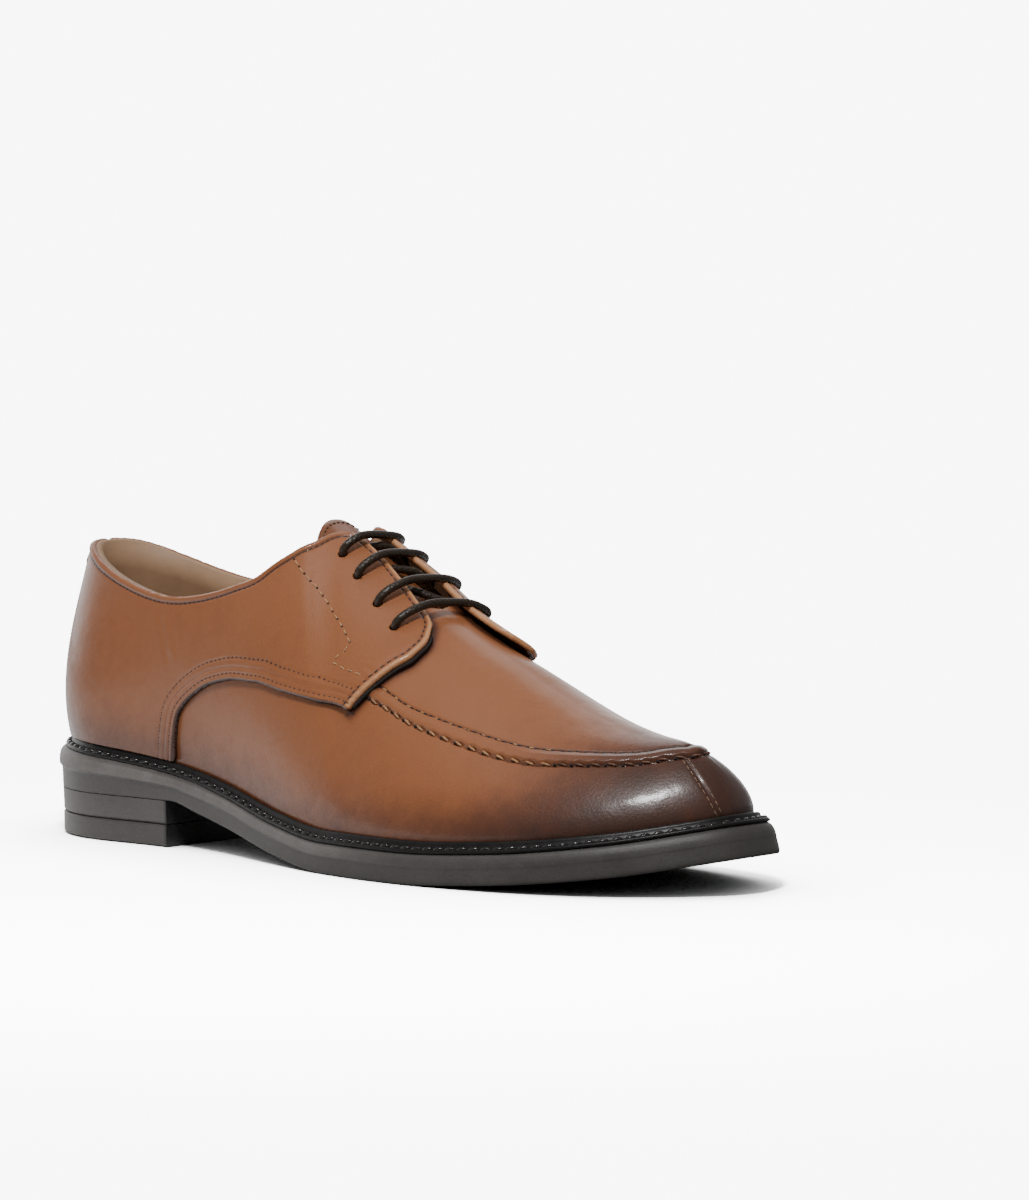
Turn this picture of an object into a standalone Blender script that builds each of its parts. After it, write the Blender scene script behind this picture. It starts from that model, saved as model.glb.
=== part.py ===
"""Derby shoe, right foot: an apron-front, split-toe derby on a storm-welted rubber sole.

Sizes are in millimetres and become metres when a mesh is made. +X points to the toe, +Y to the
medial side and +Z up. The pieces of the upper are all cut from one skin, the last: an angle round
the perimeter (0 at the heel, pi at the toe, lateral side first) and a share of the way up, from 0 at
the welt to 1 at the top. A station is a place along the sole's length, which stands for an angle.
"""
import bmesh
import bpy
import numpy as np

for old in list(bpy.data.objects):
    bpy.data.objects.remove(old, do_unlink=True)

METRE = 0.001
UP = np.array([0.0, 0.0, 1.0])

# Driving sizes
SOLE_LENGTH = 306.0
HALF_LENGTH = SOLE_LENGTH / 2
WALL = 2.2
QUARTER_THICK = 1.4
QUARTER_GAP = 0.7
TONGUE_THICK = 1.8
INSOLE_THICK = 3.0
LACE_RADIUS = 1.35
EYELET_RADIUS = 2.4
PIECE_GAP = 0.3
WELT_RISE = 3.8
TOE_REACH = 3.8
TOE_REACH_START = 50.0
HEEL_BREAST = -82.0
HEEL_TOP = 16.6
TOP_PIECE_THICK = 7.7

# The sole seen from above: half widths from the line through heel and toe
PLAN = (
    # station, lateral, medial
    (-144.0, 20.0, 20.0),
    (-122.0, 31.0, 30.5),
    (-86.0, 31.5, 31.0),
    (-45.0, 38.0, 29.0),
    (-8.0, 48.0, 32.5),
    (38.0, 55.5, 42.5),
    (78.0, 52.5, 46.5),
    (115.0, 41.0, 40.5),
    (141.0, 22.5, 28.0),
)

# The sole seen from the side: its underside, its top, and how far the welt reaches out of the upper
SOLE = (
    # station, underside, top, welt reach
    (-153.0, 16.6, 31.5, 4.6),
    (-110.0, 16.6, 28.7, 4.5),
    (-80.0, 16.6, 25.6, 4.4),
    (-66.0, 13.4, 23.4, 4.5),
    (-50.0, 9.9, 20.3, 4.6),
    (-20.0, 3.4, 13.8, 4.9),
    (8.0, 0.0, 10.5, 5.3),
    (45.0, 0.0, 10.5, 5.6),
    (80.0, 1.8, 12.2, 5.9),
    (120.0, 6.4, 16.8, 6.2),
    (153.0, 13.0, 23.4, 6.4),
)

# The sole's edge from the top down: outward move at the heel, at the forefoot, share of the thickness
SOLE_EDGE = (
    (-0.4, -1.5, 0.00),
    (1.2, -0.5, 0.10),
    (1.7, 0.0, 0.26),
    (1.7, 0.0, 0.44),
    (0.7, -0.1, 0.47),
    (0.5, -0.2, 0.92),
    (-0.3, -0.9, 1.00),
)
HEEL_EDGE_STATIONS = (-90.0, -40.0)

# The heel's two layers: inset from the sole's edge, height
LIFT_LEVELS = (
    (-0.4, HEEL_TOP - PIECE_GAP),
    (-0.1, TOP_PIECE_THICK + 0.9),
    (0.4, TOP_PIECE_THICK + PIECE_GAP),
)
TOP_PIECE_LEVELS = (
    (0.3, TOP_PIECE_THICK),
    (-0.2, TOP_PIECE_THICK - 0.6),
    (-0.1, 0.8),
    (0.7, 0.0),
)

# The storm welt's section: share of its reach from the upper to the sole's edge, height on the sole
WELT_SECTION = (
    (0.05, 0.3),
    (0.95, 0.3),
    (0.97, 1.0),
    (0.86, 1.5),
    (0.62, 1.4),
    (0.36, 2.7),
    (0.32, 3.5),
    (0.20, 3.9),
    (0.08, 3.6),
)

# The ridge from the instep down the vamp to the toe, which leans to the medial side at the instep
RIDGE = (
    # x, height, distance to the medial side
    (-28.0, 118.3, 4.0),
    (-10.0, 106.8, 4.0),
    (5.0, 96.9, 3.5),
    (20.0, 86.4, 1.2),
    (36.0, 78.3, 0.0),
    (52.0, 71.1, 0.0),
    (68.0, 63.7, 0.0),
    (84.0, 57.4, 0.0),
    (100.0, 52.8, 0.0),
    (112.0, 50.2, 0.0),
    (123.0, 48.6, 0.0),
)

# The last's columns: how a wall leaves the welt, where it ends, and how it arrives there.
# Lean and roll are degrees, low and high the lengths of the curve's two handles.
COLUMNS = (
    # station, lateral (lean, low, top y, top z), medial (the same), top x, roll, high
    (-153.0, (14, 24, 0.0, 104.5), (14, 24, 0.0, 104.5), -139.5, 78, 22),
    (-144.0, (14, 24, -13.0, 103.0), (14, 24, 12.5, 103.0), -134.0, 78, 22),
    (-122.0, (12, 24, -22.0, 96.0), (12, 24, 21.5, 96.5), -117.5, 80, 18),
    (-86.0, (10, 22, -26.5, 88.5), (10, 22, 25.5, 90.0), -88.0, 82, 18),
    (-45.0, (6, 22, -26.0, 92.0), (6, 22, 25.0, 94.0), -62.0, 70, 20),
    (-15.0, (4, 22, -20.0, 104.5), (2, 24, 20.0, 105.5), -43.0, 50, 22),
    (10.0, (4, 20, -6.0, 116.2), (0, 24, 10.0, 116.2), -30.5, 15, 22),
    (24.0, (4, 18, 0.0, 111.1), (0, 30, 0.0, 111.1), -18.0, 0, 24),
    (38.0, (6, 16, 0.0, 98.4), (2, 30, 0.0, 98.4), 2.0, 0, 26),
    (78.0, (8, 12, 0.0, 69.0), (6, 24, 0.0, 69.0), 58.0, 0, 24),
    (115.0, (8, 10, 0.0, 53.4), (8, 10, 0.0, 53.4), 98.0, 0, 20),
    (141.0, (6, 8, 0.0, 49.4), (6, 9, 0.0, 49.4), 117.0, 0, 15),
    (153.0, (4, 9, 0.0, 48.6), (4, 9, 0.0, 48.6), 123.0, 0, 12),
)
RIDGE_STATIONS = (10.0, 24.0)

# The apron's raised seam: its outer and inner crease as shares of the way up
APRON = (
    # station, outer crease, inner crease
    (-153.0, 0.450, 0.500),
    (30.0, 0.450, 0.500),
    (45.0, 0.463, 0.512),
    (60.0, 0.470, 0.528),
    (75.0, 0.468, 0.537),
    (90.0, 0.483, 0.560),
    (105.0, 0.527, 0.610),
    (118.0, 0.570, 0.660),
    (130.0, 0.615, 0.717),
    (141.0, 0.670, 0.790),
    (153.0, 0.710, 0.850),
)
APRON_ROLL = 1.6
APRON_CREASE = 0.3
APRON_STATIONS = (37.0, 46.0)

# The collar's rim as a share of the way up, from where it drops below the last's top
COLLAR = (
    # station, share
    (-153.0, 1.000),
    (-62.0, 0.997),
    (-50.0, 0.983),
    (-31.0, 0.942),
    (-10.5, 0.854),
    (4.0, 0.812),
    (15.0, 0.834),
    (23.0, 0.855),
)
COLLAR_END = 23.0

# The throat slot of the upper, under the facings
THROAT_X = 18.0
THROAT_STATION = 49.5
SLOT_HALF = 11.0

# A quarter's outline on the last, as station and share of the way up
QUARTER_BOTTOM = (
    (-152.9, 0.012),
    (-144.0, 0.012),
    (-122.0, 0.012),
    (-100.0, 0.012),
    (-86.0, 0.012),
    (-81.5, 0.012),
    (-79.4, 0.150),
    (-76.0, 0.290),
    (-65.5, 0.425),
    (-50.0, 0.512),
    (-36.0, 0.533),
    (-20.0, 0.504),
    (-6.0, 0.446),
    (6.5, 0.408),
    (17.4, 0.388),
    (26.0, 0.385),
)
QUARTER_TOP = (
    (-152.9, 1.000),
    (-144.0, 1.000),
    (-122.0, 1.000),
    (-106.0, 1.000),
    (-96.0, 1.000),
    (-88.0, 1.000),
    (-80.0, 1.000),
    (-72.0, 1.000),
    (-62.0, 0.997),
    (-50.0, 0.983),
    (-31.0, 0.942),
    (-10.5, 0.854),
    (4.0, 0.816),
    (12.0, 0.829),
    (18.0, 0.868),
    (24.0, 0.906),
)
QUARTER_FRONT = (
    (26.0, 0.385),
    (32.6, 0.447),
    (38.5, 0.511),
    (44.6, 0.594),
    (49.8, 0.680),
    (52.4, 0.774),
    (51.3, 0.850),
    (47.7, 0.882),
    (43.5, 0.886),
    (38.5, 0.898),
    (33.5, 0.912),
    (28.5, 0.916),
    (24.0, 0.906),
)
TAB_CORNER = 6
TOP_LAG = 1.35

# How far each facing stands off the vamp along its front edge, and how soon that fades behind it
TAB_LIFT = {
    # side: height, then the shares of the edge where it starts, is full, begins to fall and ends
    "lateral": (2.2, -0.05, 0.15, 0.30, 0.62),
    "medial": (4.4, 0.06, 0.54, 0.54, 0.92),
}
TAB_SPREAD = 13.0

# The medial facing's lower corner and eyelets stand further forward than the lateral ones
MEDIAL_AHEAD = 12.0
AHEAD_STATIONS = (30.0, 52.0)

# The eyelets of one facing, from the top
EYELETS = (
    # station, share
    (22.6, 0.789),
    (28.8, 0.759),
    (36.0, 0.730),
    (42.0, 0.706),
)

# The tongue under the facings: where it leaves the collar and ends, how far its domed end reaches
# and climbs past the ridge, its half width, its depth under the ridge, how its sides curl down, and
# the share of the ridge's lean that it takes
TONGUE_ENDS = (-18.0, 40.0)
TONGUE_REACH = 12.0
TONGUE_CLIMB = 0.64
TONGUE_HALF = 13.0
TONGUE_SINK = 4.0
TONGUE_CURL = 0.034
TONGUE_LEAN = 0.4

COLOURS = {
    # slot: colour, roughness
    "leather": ((0.260, 0.098, 0.040, 1.0), 0.38),
    "leather_dark": ((0.180, 0.066, 0.030, 1.0), 0.42),
    "rubber": ((0.045, 0.042, 0.040, 1.0), 0.55),
    "welt": ((0.010, 0.010, 0.010, 1.0), 0.45),
    "lining": ((0.350, 0.210, 0.120, 1.0), 0.60),
    "lace": ((0.022, 0.015, 0.011, 1.0), 0.50),
}


def profile_through(rows, column):
    """A curve through a table's rows that never overshoots them."""
    x = np.array([row[0] for row in rows], float)
    y = np.array([row[column] for row in rows], float)
    step = np.diff(x)
    rise = np.diff(y) / step
    slope = np.zeros_like(y)
    same = rise[:-1] * rise[1:] > 0
    slope[1:-1][same] = 2 * rise[:-1][same] * rise[1:][same] / (rise[:-1] + rise[1:])[same]
    slope[0] = rise[0]
    slope[-1] = rise[-1]

    def at(where):
        where = np.clip(np.asarray(where, float), x[0], x[-1])
        i = np.clip(np.searchsorted(x, where, side="right") - 1, 0, len(x) - 2)
        t = (where - x[i]) / step[i]
        start = (1 + 2 * t) * (1 - t) ** 2 * y[i] + t * (1 - t) ** 2 * step[i] * slope[i]
        end = t**2 * (3 - 2 * t) * y[i + 1] + t**2 * (t - 1) * step[i] * slope[i + 1]
        return start + end

    return at


def closed_through(rows):
    """A smooth closed curve through rows of (angle, values), repeating after a full turn."""
    rows = sorted(rows, key=lambda row: row[0])
    angle = np.array([row[0] for row in rows] + [rows[0][0] + 2 * np.pi])
    value = np.array([row[1] for row in rows] + [rows[0][1]], float).reshape(len(angle), -1)
    count = len(angle)
    step = np.diff(angle)
    slope = np.diff(value, axis=0) / step[:, None]
    matrix = np.zeros((count, count))
    right = np.zeros_like(value)
    for i in range(1, count - 1):
        matrix[i, i - 1 : i + 2] = step[i - 1], 2 * (step[i - 1] + step[i]), step[i]
        right[i] = 6 * (slope[i] - slope[i - 1])
    matrix[0, [0, -1]] = 1, -1
    matrix[-1, [0, 1]] = 2 * step[0], step[0]
    matrix[-1, [-2, -1]] = step[-1], 2 * step[-1]
    right[-1] = 6 * (slope[0] - slope[-1])
    bend = np.linalg.solve(matrix, right)

    def at(where):
        where = (np.asarray(where, float) - angle[0]) % (2 * np.pi) + angle[0]
        i = np.clip(np.searchsorted(angle, where, side="right") - 1, 0, count - 2)
        ahead = (angle[i + 1] - where)[..., None]
        behind = (where - angle[i])[..., None]
        width = step[i][..., None]
        curve = (bend[i] * ahead**3 + bend[i + 1] * behind**3) / (6 * width)
        curve += (value[i] / width - bend[i] * width / 6) * ahead
        return curve + (value[i + 1] / width - bend[i + 1] * width / 6) * behind

    return at


def angle_of(station, side="lateral"):
    """The angle round the perimeter that a station of one side stands for."""
    angle = np.arccos(np.clip(-np.asarray(station, float) / HALF_LENGTH, -1, 1))
    return angle if side == "lateral" else 2 * np.pi - angle


def station_of(angle):
    return -HALF_LENGTH * np.cos(angle)


def both_sides(rows):
    """Table rows of (station, lateral values, medial values) as rows of (angle, values)."""
    lateral = [(float(angle_of(row[0])), row[1]) for row in rows]
    ends = (-HALF_LENGTH, HALF_LENGTH)
    medial = [(float(angle_of(row[0], "medial")), row[2]) for row in rows if row[0] not in ends]
    return lateral + medial


def eased(x, start, end):
    """From 0 at start to 1 at end, with soft shoulders."""
    t = np.clip((np.asarray(x, float) - start) / (end - start), 0, 1)
    return t * t * (3 - 2 * t)


def facing_station(station, side):
    """Where one side's facing has what a station of the lateral facing has."""
    ahead = MEDIAL_AHEAD if side == "medial" else 0.0
    return station + ahead * eased(station, *AHEAD_STATIONS)


plan_rows = [(-HALF_LENGTH, 0.0, 0.0), (HALF_LENGTH, 0.0, 0.0)]
plan_rows += [(station, -lateral, medial) for station, lateral, medial in PLAN]
plan_y = closed_through(both_sides(plan_rows))
column_at = closed_through(
    both_sides([(row[0], row[1] + row[3:], row[2] + row[3:]) for row in COLUMNS])
)
sole_under = profile_through(SOLE, 1)
sole_top = profile_through(SOLE, 2)
welt_reach = profile_through(SOLE, 3)
ridge_z = profile_through(RIDGE, 1)
ridge_y = profile_through(RIDGE, 2)
apron_outer = profile_through(APRON, 1)
apron_inner = profile_through(APRON, 2)
collar_share = profile_through(COLLAR, 1)


def sole_edge(angle):
    """The sole's edge seen from above, and its outward direction there."""
    small = 1e-4
    place = np.stack([station_of(angle), plan_y(angle)[..., 0]], -1)
    ahead = np.stack([station_of(angle + small), plan_y(angle + small)[..., 0]], -1)
    along = (ahead - place) / np.linalg.norm(ahead - place, axis=-1, keepdims=True)
    return place, np.stack([along[..., 1], -along[..., 0]], -1)


def feather(angle):
    """The line where the upper meets the welt, seen from above, and its outward direction."""
    place, outward = sole_edge(angle)
    return place - outward * welt_reach(place[..., 0])[..., None], outward


def skin(angle, share):
    """A point of the last's skin. A share from 0 down to -1 follows the wall beside the welt."""
    angle, share = np.broadcast_arrays(np.asarray(angle, float), np.asarray(share, float))
    place, outward = feather(angle)
    lean, low, top_y, top_z, top_x, roll, high = np.moveaxis(column_at(angle), -1, 0)
    lean = np.radians(lean)
    roll = np.radians(np.clip(roll, 0, 90))
    flat = np.zeros_like(angle)
    on_ridge = eased(station_of(angle), *RIDGE_STATIONS)
    foot = np.stack([place[..., 0], place[..., 1], sole_top(place[..., 0]) + WELT_RISE], -1)
    top_z = top_z + (ridge_z(top_x) - top_z) * on_ridge
    top_y = top_y + (ridge_y(top_x) - top_y) * on_ridge
    top = np.stack([top_x, top_y, top_z], -1)
    inward = np.stack([-outward[..., 0], -outward[..., 1], flat], -1)
    climb = (ridge_z(top_x + 0.5) - ridge_z(top_x - 0.5)) * on_ridge
    along = inward + np.stack([flat, flat, inward[..., 0] * climb], -1)
    along /= np.linalg.norm(along, axis=-1, keepdims=True)
    arrive = along * np.cos(roll)[..., None] + UP * np.sin(roll)[..., None]
    leave = -inward * np.sin(lean)[..., None] + UP * np.cos(lean)[..., None]
    low_handle = foot + leave * low[..., None]
    high_handle = top - arrive * high[..., None]
    t = np.clip(share, 0, 1)[..., None]
    curve = foot * (1 - t) ** 3 + 3 * low_handle * t * (1 - t) ** 2
    curve += 3 * high_handle * t**2 * (1 - t) + top * t**3
    below = np.minimum(share, 0)[..., None]
    return curve + UP * below * (WELT_RISE - PIECE_GAP)


def skin_normal(angle, share):
    """The skin's outward direction."""
    angle, share = np.broadcast_arrays(np.asarray(angle, float), np.asarray(share, float))
    small = 1e-3
    inside = np.clip(share, small, 1 - small)
    across = skin(angle + small, inside) - skin(angle - small, inside)
    upward = skin(angle, inside + small) - skin(angle, inside - small)
    normal = np.cross(across, upward)
    top_x = column_at(angle)[..., 4]
    climb = ridge_z(top_x + 0.5) - ridge_z(top_x - 0.5)
    middle = np.stack([-climb, np.zeros_like(climb), np.ones_like(climb)], -1)
    on_top = (share > 1 - small) & (station_of(angle) >= RIDGE_STATIONS[1])
    normal = np.where(on_top[..., None], middle, normal)
    return normal / np.linalg.norm(normal, axis=-1, keepdims=True)


def offset_skin(angle, share, distance):
    distance = np.asarray(distance, float)[..., None]
    return skin(angle, share) + skin_normal(angle, share) * distance


def spread(rows, count, side, lag=1.0):
    """Points along an outline of (station, share) rows, as angle and share. A lag crowds its start."""
    rows = np.array(rows)
    line = np.column_stack([angle_of(rows[:, 0], side), rows[:, 1]])
    place = np.linspace(0, 1, len(rows))
    want = np.linspace(0, 1, count) ** lag
    curves = [profile_through(np.column_stack([place, line[:, k]]), 1) for k in (0, 1)]
    return np.column_stack([curve(want) for curve in curves])


def facing_rows(side):
    """The front edge of one side's facing, from its lower corner up to the collar."""
    return [(float(facing_station(station, side)), share) for station, share in QUARTER_FRONT]


front_lines = {side: skin(*spread(facing_rows(side), 120, side).T) for side in TAB_LIFT}


def tab_lift(points, side):
    """How far a facing stands off the vamp at points of the skin."""
    height, start, full, fall, end = TAB_LIFT[side]
    gaps = np.linalg.norm(points[..., None, :] - front_lines[side], axis=-1)
    along = gaps.argmin(-1) / (len(front_lines[side]) - 1)
    stretch = eased(along, start, full) * (1 - eased(along, fall, end))
    return height * stretch * np.exp(-((gaps.min(-1) / TAB_SPREAD) ** 2))


def tongue_sheets(columns, rows):
    """The tongue's two faces: a strip down the ridge with a domed upper end past the collar."""
    across = np.linspace(-1, 1, rows)
    top = TONGUE_ENDS[0] - TONGUE_REACH * np.sqrt(1 - 0.85 * across**2)
    x = top + (TONGUE_ENDS[1] - top) * np.linspace(0, 1, columns)[:, None]

    def height(at):
        return ridge_z(at) + TONGUE_CLIMB * np.clip(RIDGE[0][0] - at, 0, None)

    climb = height(x + 0.5) - height(x - 0.5)
    up = np.stack([-climb, np.zeros_like(x), np.ones_like(x)], -1)
    up /= np.linalg.norm(up, axis=-1, keepdims=True)
    side = TONGUE_HALF * across
    base = np.stack([x, ridge_y(x) * TONGUE_LEAN + side, height(x) - TONGUE_CURL * side**2], -1)
    return base - up * TONGUE_SINK, base - up * (TONGUE_SINK + TONGUE_THICK)


perimeter = np.linspace(0, 2 * np.pi, 721)
TOE_END = max(HALF_LENGTH + move + TOE_REACH * share for _, move, share in SOLE_EDGE)
HEEL_END = HALF_LENGTH + max(move for move, _, _ in SOLE_EDGE)
CENTRE_X = (TOE_END - HEEL_END) / 2
CENTRE_Y = (sole_edge(perimeter)[0][:, 1].min() + sole_edge(perimeter)[0][:, 1].max()) / 2


def material(slot):
    colour, roughness = COLOURS[slot]
    made = bpy.data.materials.get(slot) or bpy.data.materials.new(slot)
    made.use_nodes = True
    shader = made.node_tree.nodes["Principled BSDF"]
    shader.inputs["Base Color"].default_value = colour
    shader.inputs["Roughness"].default_value = roughness
    shader.inputs["Metallic"].default_value = 0.0
    return made


def add_piece(name, slot, points, faces):
    """One closed solid from points in millimetres, with doubled points joined."""
    places = (np.asarray(points) - [CENTRE_X, CENTRE_Y, 0]) * METRE
    form = bmesh.new()
    corners = [form.verts.new(place) for place in places]
    for face in faces:
        form.faces.new([corners[i] for i in face])
    bmesh.ops.remove_doubles(form, verts=form.verts, dist=1e-6)
    bmesh.ops.recalc_face_normals(form, faces=form.faces)
    mesh = bpy.data.meshes.new(name)
    form.to_mesh(mesh)
    form.free()
    mesh.materials.append(material(slot))
    piece = bpy.data.objects.new(name, mesh)
    bpy.context.collection.objects.link(piece)
    return piece


def grid_faces(columns, rows, start=0, closed=False):
    """The quads of a grid of points, counted column by column."""
    faces = []
    for i in range(columns if closed else columns - 1):
        left = start + i * rows
        right = start + (i + 1) % columns * rows
        for j in range(rows - 1):
            faces.append((left + j, right + j, right + j + 1, left + j + 1))
    return faces


def plate(outer, inner):
    """A sheet between two grids of points, closed along its four edges."""
    columns, rows = outer.shape[:2]
    count = columns * rows
    points = np.concatenate([outer.reshape(-1, 3), inner.reshape(-1, 3)])
    faces = grid_faces(columns, rows)
    faces += [tuple(count + i for i in reversed(face)) for face in grid_faces(columns, rows)]
    border = [i * rows for i in range(columns)]
    border += [(columns - 1) * rows + j for j in range(1, rows)]
    border += [i * rows + rows - 1 for i in range(columns - 2, -1, -1)]
    border += [j for j in range(rows - 2, 0, -1)]
    for a, b in zip(border, border[1:] + border[:1]):
        faces.append((a, b, count + b, count + a))
    return points, faces


def slab(rings):
    """A solid through closed rings of points that run once round, lateral side first."""
    count = len(rings[0])
    points = np.concatenate(rings)
    faces = []
    for level in range(len(rings) - 1):
        for i in range(count):
            j = (i + 1) % count
            a = level * count
            faces.append((a + i, a + j, a + count + j, a + count + i))
    for a in (0, (len(rings) - 1) * count):
        for i in range(count // 2):
            lateral = (a + i, a + i + 1)
            medial = (a + (count - i - 1) % count, a + (count - i) % count)
            corners = list(dict.fromkeys(lateral + medial))
            faces.append(tuple(corners))
    return points, faces


def tube(path, radius, sides=8):
    """A round bar along a path of points, with flat ends."""
    path = np.asarray(path, float)
    along = np.gradient(path, axis=0)
    along /= np.linalg.norm(along, axis=1, keepdims=True)
    across = np.cross(along, [1.0, 0.0, 0.0])
    across /= np.linalg.norm(across, axis=1, keepdims=True)
    other = np.cross(along, across)
    turn = np.arange(sides) * 2 * np.pi / sides
    ring = across[:, None] * np.cos(turn)[:, None] + other[:, None] * np.sin(turn)[:, None]
    points = (path[:, None] + ring * radius).reshape(-1, 3)
    faces = []
    for i in range(len(path) - 1):
        for j in range(sides):
            k = (j + 1) % sides
            faces.append((i * sides + j, i * sides + k, (i + 1) * sides + k, (i + 1) * sides + j))
    faces.append(tuple(range(sides)))
    faces.append(tuple((len(path) - 1) * sides + j for j in range(sides)))
    return points, faces


# Sole pieces
SOLE_MARKS = (
    # station where a stretch of the sole starts, columns in it
    (-153.0, 11),
    (-80.0, 8),
    (8.0, 4),
    (45.0, 14),
)


def sole_columns():
    """Angles round the sole, with columns where its underside changes, lateral side first."""
    starts = [float(angle_of(station)) for station, _ in SOLE_MARKS] + [np.pi]
    stretches = [
        np.linspace(start, end, count, endpoint=False)
        for start, end, (_, count) in zip(starts, starts[1:], SOLE_MARKS)
    ]
    lateral = np.concatenate(stretches)
    return np.concatenate([lateral, [np.pi], 2 * np.pi - lateral[:0:-1]])


sole_angles = sole_columns()


def sole_ring(angles, inset, height):
    """The sole's edge moved inward, at a height worked out from the place along the sole."""
    place, outward = sole_edge(angles)
    place = place - outward * np.asarray(inset, float)[..., None]
    return np.column_stack([place, height(place[:, 0])])


def make_outsole():
    rings = []
    forward = eased(station_of(sole_angles), *HEEL_EDGE_STATIONS)
    for heel_move, fore_move, share in SOLE_EDGE:

        def height(x, share=share):
            return sole_top(x) + (sole_under(x) - sole_top(x)) * share

        ring = sole_ring(sole_angles, -heel_move - (fore_move - heel_move) * forward, height)
        spring = eased(ring[:, 0], TOE_REACH_START, HALF_LENGTH)
        ring[:, 0] += TOE_REACH * spring * share
        rings.append(ring)
    add_piece("outsole", "rubber", *slab(rings))


def make_heel_layer(name, levels):
    """A heel layer through (inset, height) levels, cut off flat at the breast."""
    reach = float(angle_of(HEEL_BREAST))
    steps = 12
    lateral = np.linspace(0, reach, steps)
    angles = np.concatenate([lateral, -lateral[:0:-1]])
    rings = []
    for inset, level in levels:
        ring = sole_ring(angles, np.full(len(angles), inset), lambda x, z=level: np.full_like(x, z))
        ring[:, 0] = np.minimum(ring[:, 0], HEEL_BREAST)
        ring[[steps - 1, steps], 0] = HEEL_BREAST
        rings.append(ring)
    add_piece(name, "rubber", *slab(rings))


def make_welt():
    place, outward = feather(sole_angles)
    rings = []
    for share, rise in WELT_SECTION:
        reach = welt_reach(sole_edge(sole_angles)[0][:, 0]) * share
        spot = place + outward * reach[:, None]
        rings.append(np.column_stack([spot, sole_top(spot[:, 0]) + rise]))
    points = np.stack(rings + rings[:1], 1)
    columns, rows = points.shape[:2]
    add_piece("welt", "welt", points.reshape(-1, 3), grid_faces(columns, rows, closed=True))


def make_insole():
    place, outward = feather(sole_angles)
    place = place - outward * (WALL + PIECE_GAP)
    floor = np.column_stack([place, sole_top(place[:, 0]) + PIECE_GAP])
    add_piece("insole", "lining", *slab([floor + UP * INSOLE_THICK, floor]))


# Upper, as one hollow shell
HEEL_COLUMNS = 12
THROAT_COLUMNS = 12
TOE_COLUMNS = 12
WALL_ROWS = 5
TOP_ROWS = 6


def upper_angles():
    """Columns of the lateral side, closer together along the throat."""
    marks = [0.0, float(angle_of(5.0)), float(angle_of(54.0)), np.pi]
    heel = np.linspace(marks[0], marks[1], HEEL_COLUMNS, endpoint=False)
    throat = np.linspace(marks[1], marks[2], THROAT_COLUMNS, endpoint=False)
    toe = np.linspace(marks[2], marks[3], TOE_COLUMNS)
    return np.concatenate([heel, throat, toe])


def slot_half(x):
    """Half the throat slot's width, round at its lower end."""
    return SLOT_HALF * np.sqrt(np.clip(1 - np.clip((x - THROAT_X) / SLOT_HALF + 1, 0, 1) ** 2, 0, 1))


def upper_end(angle):
    """The share at which the upper's wall ends: at the collar, the throat slot or the ridge."""
    if station_of(angle) <= COLLAR_END:
        return float(collar_share(station_of(angle)))
    if station_of(angle) >= THROAT_STATION:
        return 1.0
    low, high = 0.5, 1.0
    for _ in range(40):
        middle = (low + high) / 2
        x, y, _ = skin(angle, middle)
        if abs(y - ridge_y(x)) > slot_half(x):
            low = middle
        else:
            high = middle
    return high


def apron_step(angle, share):
    """How far the apron's raised seam stands out of the skin."""
    station = station_of(angle)
    outer = apron_outer(station)
    place = (share - outer) / (apron_inner(station) - outer)
    roll = np.sin(np.pi * np.clip(place, 0, 1)) ** 0.7 * (APRON_ROLL + APRON_CREASE) - APRON_CREASE
    near = eased(place, -0.5, 0.0) * (1 - eased(place, 1.0, 1.5))
    return roll * near * eased(station, *APRON_STATIONS)


def make_upper():
    lateral = upper_angles()
    angles = np.concatenate([lateral, 2 * np.pi - lateral[-2:0:-1]])
    shares = []
    ends = []
    for angle in angles:
        station = station_of(angle)
        outer = float(apron_outer(station))
        inner = float(apron_inner(station))
        end = upper_end(angle)
        roll = outer + (inner - outer) * np.array([0.0, 0.3, 0.7, 1.0])
        low = np.linspace(0, outer, WALL_ROWS, endpoint=False)
        high = np.linspace(inner, end, TOP_ROWS)[1:]
        shares.append(np.concatenate([[-1.0], low, roll, high]))
        ends.append(end)
    shares = np.array(shares)
    wide = np.broadcast_to(angles[:, None], shares.shape)
    outer = offset_skin(wide, shares, apron_step(wide, shares))
    inner = offset_skin(wide, shares, np.full(shares.shape, -WALL))
    columns, rows = shares.shape
    count = columns * rows
    points = np.concatenate([outer.reshape(-1, 3), inner.reshape(-1, 3)])
    faces = grid_faces(columns, rows, closed=True)
    faces += [tuple(count + i for i in reversed(face)) for face in faces]
    for i in range(columns):
        j = (i + 1) % columns
        faces.append((i * rows, count + i * rows, count + j * rows, j * rows))
        if ends[i] < 1 or ends[j] < 1 or station_of(angles[i]) < 0:
            a = i * rows + rows - 1
            b = j * rows + rows - 1
            faces.append((a, b, count + b, count + a))
    return add_piece("upper", "leather", points, faces)


# Quarters with their facings
QUARTER_COLUMNS = 33
QUARTER_ROWS = 10


def quarter_grid(side):
    """Angles and shares over a quarter: the arch below, collar and gap above, the tab in front."""
    front_rows = facing_rows(side)
    top_rows = list(QUARTER_TOP[:-1]) + front_rows[: TAB_CORNER - 1 : -1]
    bottom = spread(QUARTER_BOTTOM, QUARTER_COLUMNS, side)
    top = spread(top_rows, QUARTER_COLUMNS, side, TOP_LAG)
    front = spread(front_rows[: TAB_CORNER + 1], QUARTER_ROWS, side)
    s = np.linspace(0, 1, QUARTER_COLUMNS)[:, None, None]
    r = np.linspace(0, 1, QUARTER_ROWS)[:, None]
    bulge = front - (1 - r) * bottom[-1] - r * top[-1]
    return (1 - r) * bottom[:, None] + r * top[:, None] + s**2 * bulge


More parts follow.
